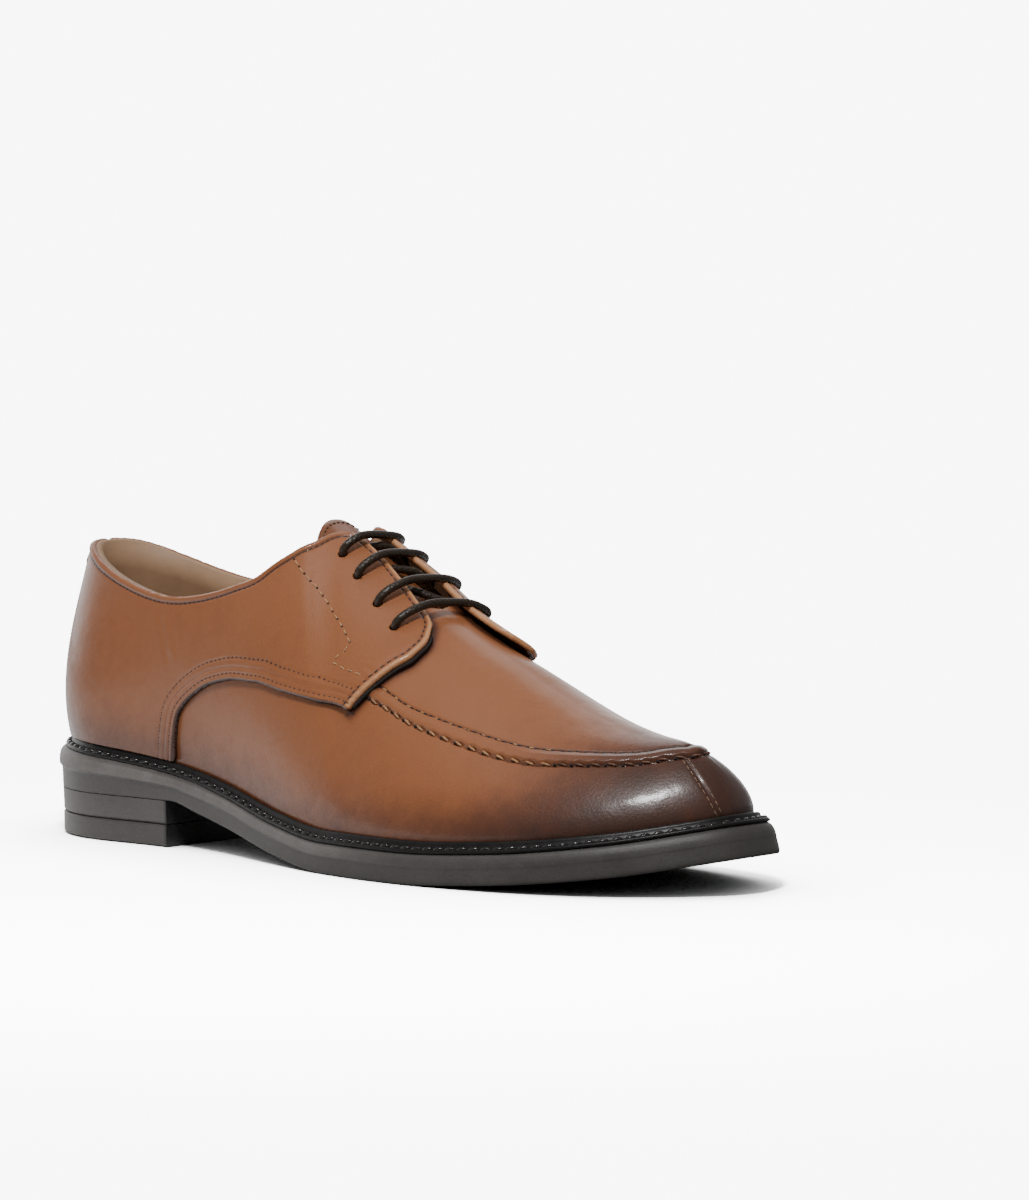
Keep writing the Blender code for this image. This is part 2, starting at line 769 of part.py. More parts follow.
def make_quarter(side):
    grid = quarter_grid(side)
    angle, share = grid[..., 0], grid[..., 1]
    lift = QUARTER_GAP + tab_lift(skin(angle, share), side)
    outer = offset_skin(angle, share, lift + QUARTER_THICK)
    inner = offset_skin(angle, share, lift)
    quarter = add_piece("quarter_" + side, "leather", *plate(outer, inner))
    cut_eyelets(quarter, side)


def cut_eyelets(piece, side):
    """Punch the facing's eyelets along the skin's outward direction."""
    reach = 6.0
    for number, (station, share) in enumerate(EYELETS):
        angle = float(angle_of(facing_station(station, side), side))
        place = skin(angle, share)
        outward = skin_normal(angle, share)
        ends = [place - outward * reach, place, place + outward * reach]
        cutter = add_piece(f"cutter_{side}_{number}", "lace", *tube(ends, EYELET_RADIUS, 12))
        cutter.hide_render = True
        cutter.display_type = "WIRE"
        punch = piece.modifiers.new("eyelet", "BOOLEAN")
        punch.operation = "DIFFERENCE"
        punch.solver = "EXACT"
        punch.object = cutter
        bpy.context.view_layer.update()
        shaped = piece.evaluated_get(bpy.context.evaluated_depsgraph_get())
        mesh = bpy.data.meshes.new_from_object(shaped)
        piece.modifiers.remove(punch)
        piece.data = mesh
        bpy.data.objects.remove(cutter, do_unlink=True)


def make_tongue():
    add_piece("tongue", "leather_dark", *plate(*tongue_sheets(10, 11)))


# Lace bars from eyelet to eyelet, taut over the facings
LACE_SINK = QUARTER_GAP + QUARTER_THICK + 0.2
LACE_REST = QUARTER_GAP + QUARTER_THICK + LACE_RADIUS + 0.5
LACE_STEPS = (
    # share of the way from the eyelet to the facing's edge, height over the skin
    (0.00, LACE_SINK),
    (0.16, LACE_REST + 0.2),
    (0.55, LACE_REST + 0.6),
    (1.00, LACE_REST + 0.6),
)
FACING_EDGE = 0.885


def plane_angles(start, shares, point, ahead, turn):
    """The angles, from a start on, at which a plane meets the skin at some shares."""
    low = np.full(len(shares), start - 0.2 * turn)
    high = low + turn
    for _ in range(40):
        middle = (low + high) / 2
        behind = (skin(middle, shares) - point) @ ahead < 0
        low = np.where(behind, middle, low)
        high = np.where(behind, high, middle)
    return low


def lace_path(station, share):
    """Out of the lateral eyelet, straight over both facings and the gap, into the medial eyelet."""
    starts = [float(angle_of(facing_station(station, side), side)) for side in ("lateral", "medial")]
    near, far = (skin(start, share) for start in starts)
    middle = (near[0] + far[0]) / 2
    climb = float(ridge_z(middle + 0.5) - ridge_z(middle - 0.5))
    ahead = np.cross(far - near, [-climb, 0.0, 1.0])
    shares = np.array([share + (FACING_EDGE - share) * step for step, _ in LACE_STEPS])
    heights = np.array([height for _, height in LACE_STEPS])
    halves = []
    for start, turn, side in zip(starts, (0.9, -0.9), ("lateral", "medial")):
        angles = plane_angles(start, shares, near, ahead, turn)
        lift = tab_lift(skin(angles, shares), side)
        halves.append(offset_skin(angles, shares, heights + lift))
    top = (halves[0][-1] + halves[1][-1]) / 2 + UP * 0.7
    rough = np.concatenate([halves[0], [top], halves[1][::-1]])
    place = np.linspace(0, 1, len(rough))
    want = np.linspace(0, 1, 15)
    curves = [profile_through(np.column_stack([place, rough[:, k]]), 1) for k in range(3)]
    return np.column_stack([curve(want) for curve in curves])


def make_laces():
    for number, (station, share) in enumerate(EYELETS):
        add_piece(f"lace_bar_{number + 1}", "lace", *tube(lace_path(station, share), LACE_RADIUS))


make_outsole()
make_heel_layer("heel_lift", LIFT_LEVELS)
make_heel_layer("heel_top_piece", TOP_PIECE_LEVELS)
make_welt()
make_insole()
make_upper()
make_quarter("lateral")
make_quarter("medial")
make_tongue()
make_laces()
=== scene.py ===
"""Looks of the derby shoe: the shaped leather, its seams and stitches, the laced cord and the sole.

The last's functions repeat those of the CAD source, in millimetres, at a finer step. An angle runs
round the perimeter, 0 at the heel and pi at the toe, lateral side first. A share runs up the wall,
0 at the welt and 1 at the top. A station is a place along the sole that stands for an angle.
"""

import math

import bmesh
import bpy
import numpy as np
from mathutils import Matrix


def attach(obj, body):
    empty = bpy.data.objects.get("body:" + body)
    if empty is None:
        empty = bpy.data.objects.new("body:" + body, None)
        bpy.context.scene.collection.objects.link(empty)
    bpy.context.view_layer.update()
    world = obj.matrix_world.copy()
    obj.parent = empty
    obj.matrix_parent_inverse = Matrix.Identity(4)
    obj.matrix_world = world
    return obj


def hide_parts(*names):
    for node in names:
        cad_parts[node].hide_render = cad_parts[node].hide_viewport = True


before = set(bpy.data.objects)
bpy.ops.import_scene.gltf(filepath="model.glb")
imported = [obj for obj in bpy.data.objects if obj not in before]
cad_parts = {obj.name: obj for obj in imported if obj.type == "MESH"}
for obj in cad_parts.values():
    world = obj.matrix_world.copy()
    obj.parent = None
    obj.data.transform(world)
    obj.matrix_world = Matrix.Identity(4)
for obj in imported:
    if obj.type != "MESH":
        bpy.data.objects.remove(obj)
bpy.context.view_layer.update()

METRE = 0.001
UP = np.array([0.0, 0.0, 1.0])

# Driving sizes
SOLE_LENGTH = 306.0
HALF_LENGTH = SOLE_LENGTH / 2
WALL = 2.2
QUARTER_THICK = 1.4
QUARTER_GAP = 0.7
TONGUE_THICK = 1.8
INSOLE_THICK = 3.0
PIECE_GAP = 0.3
WELT_RISE = 3.8
TOE_REACH = 3.8
TOE_REACH_START = 50.0
HEEL_BREAST = -82.0
HEEL_TOP = 16.6
TOP_PIECE_THICK = 7.7

# The sole seen from above: half widths from the line through heel and toe
PLAN = (
    # station, lateral, medial
    (-144.0, 20.0, 20.0), (-122.0, 31.0, 30.5), (-86.0, 31.5, 31.0),
    (-45.0, 38.0, 29.0), (-8.0, 48.0, 32.5), (38.0, 55.5, 42.5),
    (78.0, 52.5, 46.5), (115.0, 41.0, 40.5), (141.0, 22.5, 28.0),
)

# The sole seen from the side: its underside, its top, and how far the welt reaches out of the upper
SOLE = (
    # station, underside, top, welt reach
    (-153.0, 16.6, 31.5, 4.6), (-110.0, 16.6, 28.7, 4.5), (-80.0, 16.6, 25.6, 4.4),
    (-66.0, 13.4, 23.4, 4.5), (-50.0, 9.9, 20.3, 4.6), (-20.0, 3.4, 13.8, 4.9),
    (8.0, 0.0, 10.5, 5.3), (45.0, 0.0, 10.5, 5.6), (80.0, 1.8, 12.2, 5.9),
    (120.0, 6.4, 16.8, 6.2), (153.0, 13.0, 23.4, 6.4),
)

# The sole's edge from the top down: outward move at the heel, at the forefoot, share of the thickness
SOLE_EDGE = (
    (-0.4, -1.5, 0.00), (1.2, -0.5, 0.10), (1.7, 0.0, 0.26), (1.7, 0.0, 0.44),
    (0.7, -0.1, 0.47), (0.5, -0.2, 0.92), (-0.3, -0.9, 1.00),
)
HEEL_EDGE_STATIONS = (-90.0, -40.0)

# The heel's two layers: inset from the sole's edge, height
LIFT_LEVELS = (
    (-0.4, HEEL_TOP - PIECE_GAP), (-0.1, TOP_PIECE_THICK + 0.9),
    (0.4, TOP_PIECE_THICK + PIECE_GAP),
)
TOP_PIECE_LEVELS = (
    (0.3, TOP_PIECE_THICK), (-0.2, TOP_PIECE_THICK - 0.6),
    (-0.1, 0.8), (0.7, 0.0),
)

# The ridge from the instep down the vamp to the toe, which leans to the medial side at the instep
RIDGE = (
    # x, height, distance to the medial side
    (-28.0, 118.3, 4.0), (-10.0, 106.8, 4.0), (5.0, 96.9, 3.5), (20.0, 86.4, 1.2),
    (36.0, 78.3, 0.0), (52.0, 71.1, 0.0), (68.0, 63.7, 0.0), (84.0, 57.4, 0.0),
    (100.0, 52.8, 0.0), (112.0, 50.2, 0.0), (123.0, 48.6, 0.0),
)

# The last's columns: how a wall leaves the welt, where it ends, and how it arrives there.
# Lean and roll are degrees, low and high the lengths of the curve's two handles.
COLUMNS = (
    # station, lateral (lean, low, top y, top z), medial (the same), top x, roll, high
    (-153.0, (14, 24, 0.0, 104.5), (14, 24, 0.0, 104.5), -139.5, 78, 22),
    (-144.0, (14, 24, -13.0, 103.0), (14, 24, 12.5, 103.0), -134.0, 78, 22),
    (-122.0, (12, 24, -22.0, 96.0), (12, 24, 21.5, 96.5), -117.5, 80, 18),
    (-86.0, (10, 22, -26.5, 88.5), (10, 22, 25.5, 90.0), -88.0, 82, 18),
    (-45.0, (6, 22, -26.0, 92.0), (6, 22, 25.0, 94.0), -62.0, 70, 20),
    (-15.0, (4, 22, -20.0, 104.5), (2, 24, 20.0, 105.5), -43.0, 50, 22),
    (10.0, (4, 20, -6.0, 116.2), (0, 24, 10.0, 116.2), -30.5, 15, 22),
    (24.0, (4, 18, 0.0, 111.1), (0, 30, 0.0, 111.1), -18.0, 0, 24),
    (38.0, (6, 16, 0.0, 98.4), (2, 30, 0.0, 98.4), 2.0, 0, 26),
    (78.0, (8, 12, 0.0, 69.0), (6, 24, 0.0, 69.0), 58.0, 0, 24),
    (115.0, (8, 10, 0.0, 53.4), (8, 10, 0.0, 53.4), 98.0, 0, 20),
    (141.0, (6, 8, 0.0, 49.4), (6, 9, 0.0, 49.4), 117.0, 0, 15),
    (153.0, (4, 9, 0.0, 48.6), (4, 9, 0.0, 48.6), 123.0, 0, 12),
)
RIDGE_STATIONS = (10.0, 24.0)

# The apron's raised seam: its outer and inner crease as shares of the way up
APRON = (
    # station, outer crease, inner crease
    (-153.0, 0.450, 0.500), (30.0, 0.450, 0.500), (45.0, 0.463, 0.512), (60.0, 0.470, 0.528),
    (75.0, 0.468, 0.537), (90.0, 0.483, 0.560), (105.0, 0.527, 0.610), (118.0, 0.570, 0.660),
    (130.0, 0.615, 0.717), (141.0, 0.670, 0.790), (153.0, 0.710, 0.850),
)
APRON_ROLL = 1.6

# The collar's rim as a share of the way up, from where it drops below the last's top
COLLAR = (
    # station, share
    (-153.0, 1.000), (-62.0, 0.997), (-50.0, 0.983), (-31.0, 0.942),
    (-10.5, 0.854), (4.0, 0.812), (15.0, 0.834), (23.0, 0.855),
)
COLLAR_END = 23.0

# The throat slot of the upper, under the facings
THROAT_X = 18.0
THROAT_STATION = 49.5
SLOT_HALF = 11.0

# A quarter's outline on the last, as station and share of the way up
QUARTER_BOTTOM = (
    (-152.9, 0.012), (-144.0, 0.012), (-122.0, 0.012), (-100.0, 0.012), (-86.0, 0.012),
    (-81.5, 0.012), (-79.4, 0.150), (-76.0, 0.290), (-65.5, 0.425), (-50.0, 0.512),
    (-36.0, 0.533), (-20.0, 0.504), (-6.0, 0.446), (6.5, 0.408), (17.4, 0.388),
    (26.0, 0.385),
)
QUARTER_TOP = (
    (-152.9, 1.000), (-144.0, 1.000), (-122.0, 1.000), (-106.0, 1.000), (-96.0, 1.000),
    (-88.0, 1.000), (-80.0, 1.000), (-72.0, 1.000), (-62.0, 0.997), (-50.0, 0.983),
    (-31.0, 0.942), (-10.5, 0.854), (4.0, 0.816), (12.0, 0.829), (18.0, 0.868),
    (24.0, 0.906),
)
QUARTER_FRONT = (
    (26.0, 0.385), (32.6, 0.447), (38.5, 0.511), (44.6, 0.594), (49.8, 0.680),
    (52.4, 0.774), (51.3, 0.850), (47.7, 0.882), (43.5, 0.886), (38.5, 0.898),
    (33.5, 0.912), (28.5, 0.916), (24.0, 0.906),
)
TAB_CORNER = 6
TOP_LAG = 1.35

# How far each facing stands off the vamp along its front edge, and how soon that fades behind it
TAB_LIFT = {
    # side: height, then the shares of the edge where it starts, is full, begins to fall and ends
    "lateral": (2.2, -0.05, 0.15, 0.30, 0.62),
    "medial": (2.7, 0.06, 0.54, 0.54, 0.92),
}
TAB_SPREAD = 13.0

# The medial facing's lower corner and eyelets stand further forward than the lateral ones
MEDIAL_AHEAD = 12.0
AHEAD_STATIONS = (30.0, 52.0)

# The eyelets of one facing, from the top
EYELETS = (
    # station, share
    (22.6, 0.789), (28.8, 0.759), (36.0, 0.730), (42.0, 0.706),
)

# The tongue under the facings: where it leaves the collar and ends, how far its domed end reaches
# and climbs past the ridge, its half width, its depth under the ridge, how its sides curl down, and
# the share of the ridge's lean that it takes
TONGUE_ENDS = (-18.0, 40.0)
TONGUE_REACH = 12.0
TONGUE_CLIMB = 0.64
TONGUE_HALF = 16.0
TONGUE_SINK = 4.0
TONGUE_CURL = (0.014, 0.00012)
TONGUE_LEAN = 0.4


def unit(vectors):
    """The same directions with length 1."""
    return vectors / np.linalg.norm(vectors, axis=-1, keepdims=True)


def lengths_along(line):
    """How far each point of a line lies from its start."""
    return np.concatenate([[0], np.cumsum(np.linalg.norm(np.diff(line, axis=0), axis=1))])


def at_lengths(want, gone, line):
    """A line's points at some lengths from its start."""
    return np.column_stack([np.interp(want, gone, values) for values in line.T])


def profile_through(rows, column):
    """A curve through a table's rows that never overshoots them."""
    x = np.array([row[0] for row in rows], float)
    y = np.array([row[column] for row in rows], float)
    step = np.diff(x)
    rise = np.diff(y) / step
    slope = np.zeros_like(y)
    same = rise[:-1] * rise[1:] > 0
    slope[1:-1][same] = 2 * rise[:-1][same] * rise[1:][same] / (rise[:-1] + rise[1:])[same]
    slope[0] = rise[0]
    slope[-1] = rise[-1]

    def at(where):
        where = np.clip(np.asarray(where, float), x[0], x[-1])
        i = np.clip(np.searchsorted(x, where, side="right") - 1, 0, len(x) - 2)
        t = (where - x[i]) / step[i]
        start = (1 + 2 * t) * (1 - t) ** 2 * y[i] + t * (1 - t) ** 2 * step[i] * slope[i]
        end = t**2 * (3 - 2 * t) * y[i + 1] + t**2 * (t - 1) * step[i] * slope[i + 1]
        return start + end

    return at


def closed_through(rows):
    """A smooth closed curve through rows of (angle, values), repeating after a full turn."""
    rows = sorted(rows, key=lambda row: row[0])
    angle = np.array([row[0] for row in rows] + [rows[0][0] + 2 * np.pi])
    value = np.array([row[1] for row in rows] + [rows[0][1]], float).reshape(len(angle), -1)
    count = len(angle)
    step = np.diff(angle)
    slope = np.diff(value, axis=0) / step[:, None]
    matrix = np.zeros((count, count))
    right = np.zeros_like(value)
    for i in range(1, count - 1):
        matrix[i, i - 1 : i + 2] = step[i - 1], 2 * (step[i - 1] + step[i]), step[i]
        right[i] = 6 * (slope[i] - slope[i - 1])
    matrix[0, [0, -1]] = 1, -1
    matrix[-1, [0, 1]] = 2 * step[0], step[0]
    matrix[-1, [-2, -1]] = step[-1], 2 * step[-1]
    right[-1] = 6 * (slope[0] - slope[-1])
    bend = np.linalg.solve(matrix, right)

    def at(where):
        where = (np.asarray(where, float) - angle[0]) % (2 * np.pi) + angle[0]
        i = np.clip(np.searchsorted(angle, where, side="right") - 1, 0, count - 2)
        ahead = (angle[i + 1] - where)[..., None]
        behind = (where - angle[i])[..., None]
        width = step[i][..., None]
        curve = (bend[i] * ahead**3 + bend[i + 1] * behind**3) / (6 * width)
        curve += (value[i] / width - bend[i] * width / 6) * ahead
        return curve + (value[i + 1] / width - bend[i + 1] * width / 6) * behind

    return at


def angle_of(station, side="lateral"):
    """The angle round the perimeter that a station of one side stands for."""
    angle = np.arccos(np.clip(-np.asarray(station, float) / HALF_LENGTH, -1, 1))
    return angle if side == "lateral" else 2 * np.pi - angle


def station_of(angle):
    return -HALF_LENGTH * np.cos(angle)


def both_sides(rows):
    """Table rows of (station, lateral values, medial values) as rows of (angle, values)."""
    lateral = [(float(angle_of(row[0])), row[1]) for row in rows]
    ends = (-HALF_LENGTH, HALF_LENGTH)
    medial = [(float(angle_of(row[0], "medial")), row[2]) for row in rows if row[0] not in ends]
    return lateral + medial


def eased(x, start, end):
    """From 0 at start to 1 at end, with soft shoulders."""
    t = np.clip((np.asarray(x, float) - start) / (end - start), 0, 1)
    return t * t * (3 - 2 * t)


def facing_station(station, side):
    """Where one side's facing has what a station of the lateral facing has."""
    ahead = MEDIAL_AHEAD if side == "medial" else 0.0
    return station + ahead * eased(station, *AHEAD_STATIONS)


plan_rows = [(-HALF_LENGTH, 0.0, 0.0), (HALF_LENGTH, 0.0, 0.0)]
plan_rows += [(station, -lateral, medial) for station, lateral, medial in PLAN]
plan_y = closed_through(both_sides(plan_rows))
column_at = closed_through(
    both_sides([(row[0], row[1] + row[3:], row[2] + row[3:]) for row in COLUMNS])
)
sole_under = profile_through(SOLE, 1)
sole_top = profile_through(SOLE, 2)
welt_reach = profile_through(SOLE, 3)
ridge_z = profile_through(RIDGE, 1)
ridge_y = profile_through(RIDGE, 2)
apron_outer = profile_through(APRON, 1)
apron_inner = profile_through(APRON, 2)
collar_share = profile_through(COLLAR, 1)


def sole_edge(angle):
    """The sole's edge seen from above, and its outward direction there."""
    small = 1e-4
    place = np.stack([station_of(angle), plan_y(angle)[..., 0]], -1)
    ahead = np.stack([station_of(angle + small), plan_y(angle + small)[..., 0]], -1)
    along = unit(ahead - place)
    return place, np.stack([along[..., 1], -along[..., 0]], -1)


def feather(angle):
    """The line where the upper meets the welt, seen from above, and its outward direction."""
    place, outward = sole_edge(angle)
    return place - outward * welt_reach(place[..., 0])[..., None], outward


def skin(angle, share):
    """A point of the last's skin. A share from 0 down to -1 follows the wall beside the welt."""
    angle, share = np.broadcast_arrays(np.asarray(angle, float), np.asarray(share, float))
    place, outward = feather(angle)
    lean, low, top_y, top_z, top_x, roll, high = np.moveaxis(column_at(angle), -1, 0)
    lean = np.radians(lean)
    roll = np.radians(np.clip(roll, 0, 90))
    flat = np.zeros_like(angle)
    on_ridge = eased(station_of(angle), *RIDGE_STATIONS)
    foot = np.stack([place[..., 0], place[..., 1], sole_top(place[..., 0]) + WELT_RISE], -1)
    top_z = top_z + (ridge_z(top_x) - top_z) * on_ridge
    top_y = top_y + (ridge_y(top_x) - top_y) * on_ridge
    top = np.stack([top_x, top_y, top_z], -1)
    inward = np.stack([-outward[..., 0], -outward[..., 1], flat], -1)
    climb = (ridge_z(top_x + 0.5) - ridge_z(top_x - 0.5)) * on_ridge
    along = unit(inward + np.stack([flat, flat, inward[..., 0] * climb], -1))
    arrive = along * np.cos(roll)[..., None] + UP * np.sin(roll)[..., None]
    leave = -inward * np.sin(lean)[..., None] + UP * np.cos(lean)[..., None]
    low_handle = foot + leave * low[..., None]
    high_handle = top - arrive * high[..., None]
    t = np.clip(share, 0, 1)[..., None]
    curve = foot * (1 - t) ** 3 + 3 * low_handle * t * (1 - t) ** 2
    curve += 3 * high_handle * t**2 * (1 - t) + top * t**3
    below = np.minimum(share, 0)[..., None]
    return curve + UP * below * (WELT_RISE - PIECE_GAP)


def skin_normal(angle, share):
    """The skin's outward direction."""
    angle, share = np.broadcast_arrays(np.asarray(angle, float), np.asarray(share, float))
    small = 1e-3
    inside = np.clip(share, small, 1 - small)
    across = skin(angle + small, inside) - skin(angle - small, inside)
    upward = skin(angle, inside + small) - skin(angle, inside - small)
    normal = np.cross(across, upward)
    top_x = column_at(angle)[..., 4]
    climb = ridge_z(top_x + 0.5) - ridge_z(top_x - 0.5)
    middle = np.stack([-climb, np.zeros_like(climb), np.ones_like(climb)], -1)
    on_top = (share > 1 - small) & (station_of(angle) >= RIDGE_STATIONS[1])
    return unit(np.where(on_top[..., None], middle, normal))


def offset_skin(angle, share, distance):
    distance = np.asarray(distance, float)[..., None]
    return skin(angle, share) + skin_normal(angle, share) * distance


def curve_on(rows, side, want):
    """The angle and share at places from 0 to 1 along a curve through (station, share) rows."""
    rows = np.array(rows)
    line = np.column_stack([np.linspace(0, 1, len(rows)), angle_of(rows[:, 0], side), rows[:, 1]])
    return np.column_stack([profile_through(line, 1)(want), profile_through(line, 2)(want)])


def facing_rows(side):
    """The front edge of one side's facing, from its lower corner up to the collar."""
    return [(float(facing_station(station, side)), share) for station, share in QUARTER_FRONT]


front_places = np.linspace(0, 1, 120)
front_lines = {side: skin(*curve_on(facing_rows(side), side, front_places).T) for side in TAB_LIFT}


def tongue_sheets(columns, rows):
    """The tongue's two faces: a strip down the ridge with a domed upper end past the collar."""
    across = np.linspace(-1, 1, rows)
    top = TONGUE_ENDS[0] - TONGUE_REACH * np.sqrt(1 - 0.85 * across**2)
    x = top + (TONGUE_ENDS[1] - top) * np.linspace(0, 1, columns)[:, None]

    def height(at):
        return ridge_z(at) + TONGUE_CLIMB * np.clip(RIDGE[0][0] - at, 0, None)

    climb = height(x + 0.5) - height(x - 0.5)
    up = unit(np.stack([-climb, np.zeros_like(x), np.ones_like(x)], -1))
    side = TONGUE_HALF * across
    drop = TONGUE_CURL[0] * side**2 + TONGUE_CURL[1] * side**4
    base = np.stack([x, ridge_y(x) * TONGUE_LEAN + side, height(x) - drop], -1)
    return base - up * TONGUE_SINK, base - up * (TONGUE_SINK + TONGUE_THICK)


perimeter = np.linspace(0, 2 * np.pi, 721)
TOE_END = max(HALF_LENGTH + move + TOE_REACH * share for _, move, share in SOLE_EDGE)
HEEL_END = HALF_LENGTH + max(move for move, _, _ in SOLE_EDGE)
CENTRE_X = (TOE_END - HEEL_END) / 2
CENTRE_Y = (sole_edge(perimeter)[0][:, 1].min() + sole_edge(perimeter)[0][:, 1].max()) / 2


def to_row(points):
    """From millimetres in the last's frame to metres in the row's frame."""
    return (np.asarray(points, float) - [CENTRE_X, CENTRE_Y, 0]) * METRE


def add_object(name, data):
    made = bpy.data.objects.new(name, data)
    bpy.context.collection.objects.link(made)
    return made


def new_mesh(name, points, faces):
    mesh = bpy.data.meshes.new(name)
    mesh.from_pydata(to_row(points).tolist(), [], [tuple(map(int, face)) for face in faces])
    return mesh


def reform(mesh, change):
    """Change a mesh through Blender's editing form of it."""
    form = bmesh.new()
    form.from_mesh(mesh)
    change(form)
    form.to_mesh(mesh)
    form.free()


WELD_REACH = 2e-7
PART_SIZE = 4000
SEARCH_STEPS = 40


def add_piece(name, points, faces, finish, slot, nodes=(), marks=None, weld=False):
    """A shown piece from points in millimetres. Marks are values at the points for its finish."""
    mesh = new_mesh(name, points, faces)
    for mark, values in (marks or {}).items():
        layer = mesh.attributes.new(mark, "FLOAT", "POINT")
        layer.data.foreach_set("value", np.asarray(values, np.float32).ravel())
    if weld:
        reform(mesh, lambda form: bmesh.ops.remove_doubles(form, verts=form.verts, dist=WELD_REACH))
    mesh.polygons.foreach_set("use_smooth", np.ones(len(mesh.polygons), bool))
    mesh.materials.append(finish)
    piece = add_object(name, mesh)
    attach(piece, "root")
    if nodes:
        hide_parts(*nodes)
    return piece


def grid_faces(columns, rows, closed=False, start=0):
    """The quads of a grid of points, counted column by column."""
    left = np.arange(columns if closed else columns - 1)
    right = (left + 1) % columns
    row = np.arange(rows - 1)
    a = start + left[:, None] * rows + row
    b = start + right[:, None] * rows + row
    return np.stack([a, b, b + 1, a + 1], -1).reshape(-1, 4)


def plate_faces(columns, rows):
    """Both faces and the border of a sheet whose points are two grids, outer then inner."""
    count = columns * rows
    outer = grid_faces(columns, rows)
    inner = grid_faces(columns, rows, start=count)[:, ::-1]
    border = [i * rows for i in range(columns)]
    border += [(columns - 1) * rows + j for j in range(1, rows)]
    border += [i * rows + rows - 1 for i in range(columns - 2, -1, -1)]
    border += list(range(rows - 2, 0, -1))
    a = np.array(border)
    b = np.roll(a, -1)
    edge = np.stack([b, a, a + count, b + count], -1)
    return np.concatenate([outer, inner, edge])


def tube_grid(path, radius, sides):
    """Rings of points round a path."""
    along = unit(np.gradient(path, axis=0))
    across = unit(np.cross(along, [1.0, 0.0, 0.0]))
    other = np.cross(along, across)
    turn = np.arange(sides) * 2 * np.pi / sides
    ring = across[:, None] * np.cos(turn)[:, None] + other[:, None] * np.sin(turn)[:, None]
    return path[:, None] + ring * radius


def tube_faces(count, sides):
    """The faces of a tube through rings of points, with both ends closed."""
    faces = grid_faces(count, sides).tolist()
    for first in range(0, (count - 1) * sides, sides):
        last = first + sides - 1
        faces.append([last, last + sides, first + sides, first])
    end = (count - 1) * sides
    return faces + [list(range(sides))[::-1], list(range(end, end + sides))]


def smooth_path(points, count):
    """A smooth path through points, evenly spaced along its length."""
    padded = np.concatenate([2 * points[:1] - points[1:2], points, 2 * points[-1:] - points[-2:-1]])
    t = np.linspace(0, 1, 24, endpoint=False)[:, None]
    fine = []
    for a, b, c, d in zip(padded, padded[1:], padded[2:], padded[3:]):
        bend = 2 * b + (c - a) * t + (2 * a - 5 * b + 4 * c - d) * t**2
        fine.append((bend + (3 * b - a - 3 * c + d) * t**3) / 2)
    line = np.concatenate(fine + [points[-1:]])
    gone = lengths_along(line)
    return at_lengths(np.linspace(0, gone[-1], count), gone, line)


def in_parts(points, work):
    """A value worked out at each point, some thousands of points at a time."""
    flat = points.reshape(-1, 3)
    starts = range(0, len(flat), PART_SIZE)
    return np.concatenate([work(flat[i : i + PART_SIZE]) for i in starts]).reshape(points.shape[:-1])


def square_gaps(points, line):
    return ((points[:, None] - line[None]) ** 2).sum(2)


def nearest(points, line):
    """Distance from each point to a line of points."""
    return in_parts(points, lambda part: np.sqrt(square_gaps(part, line).min(1)))


def crossing(low, high, before):
    """The last place where a test holds and the first where it doesn't, between two ends."""
    for _ in range(SEARCH_STEPS):
        middle = (low + high) / 2
        holds = before(middle)
        low = np.where(holds, middle, low)
        high = np.where(holds, high, middle)
    return low, high


def groove(distance, place, width):
    """1 on a line at some distance from an edge, falling to 0 beside it."""
    return np.exp(-(((distance - place) / width) ** 2))


def evenly_on(angle, share):
    """A line on the skin with its points evenly spaced."""
    gone = lengths_along(skin(angle, share))
    even = np.linspace(0, gone[-1], len(gone))
    return np.interp(even, gone, angle), np.interp(even, gone, share)


def outline_on(rows, side, count=240):
    """A curve through (station, share) rows as angles and shares, evenly spaced on the skin."""
    return evenly_on(*curve_on(rows, side, np.linspace(0, 1, count)).T)


def straight_on(rows, side, count=200):
    """A broken line through (station, share) rows, evenly spaced on the skin, with its corners kept."""
    rows = np.array(rows)
    corners = np.arange(len(rows))
    place = np.linspace(0, len(rows) - 1, count)
    angle = np.interp(place, corners, angle_of(rows[:, 0], side))
    return evenly_on(angle, np.interp(place, corners, rows[:, 1]))


def beside(angle, share, distance):
    """A line on the skin moved sideways, to its left seen from outside."""
    small = 1e-3
    along = unit(np.gradient(skin(angle, share), axis=0))
    left = np.cross(skin_normal(angle, share), along) * distance
    by_angle = (skin(angle + small, share) - skin(angle - small, share)) / (2 * small)
    low = np.clip(share - small, 0, 1)
    high = np.clip(share + small, 0, 1)
    by_share = (skin(angle, high) - skin(angle, low)) / (high - low)[:, None]
    a = (by_angle**2).sum(1)
    b = (by_angle * by_share).sum(1)
    c = (by_share**2).sum(1)
    p = (left * by_angle).sum(1)
    q = (left * by_share).sum(1)
    det = a * c - b * b
    return angle + (p * c - q * b) / det, share + (q * a - p * b) / det


# Burnish: how dark the leather is polished. Stations or heights where it starts and is full, and its depth
TOE_BURNISH = (58.0, 134.0)
TOE_TOP_FADE = (38.0, 56.0)
TOE_TOP_PALER = 0.35
HEEL_BURNISH = (95.0, 150.0)
HEEL_DARK = 0.2
LOW_BURNISH = (4.0, 26.0)
LOW_DARK = 0.52
LOW_DARKER_AHEAD = 0.33
LOW_AHEAD_STATIONS = (45.0, 95.0)


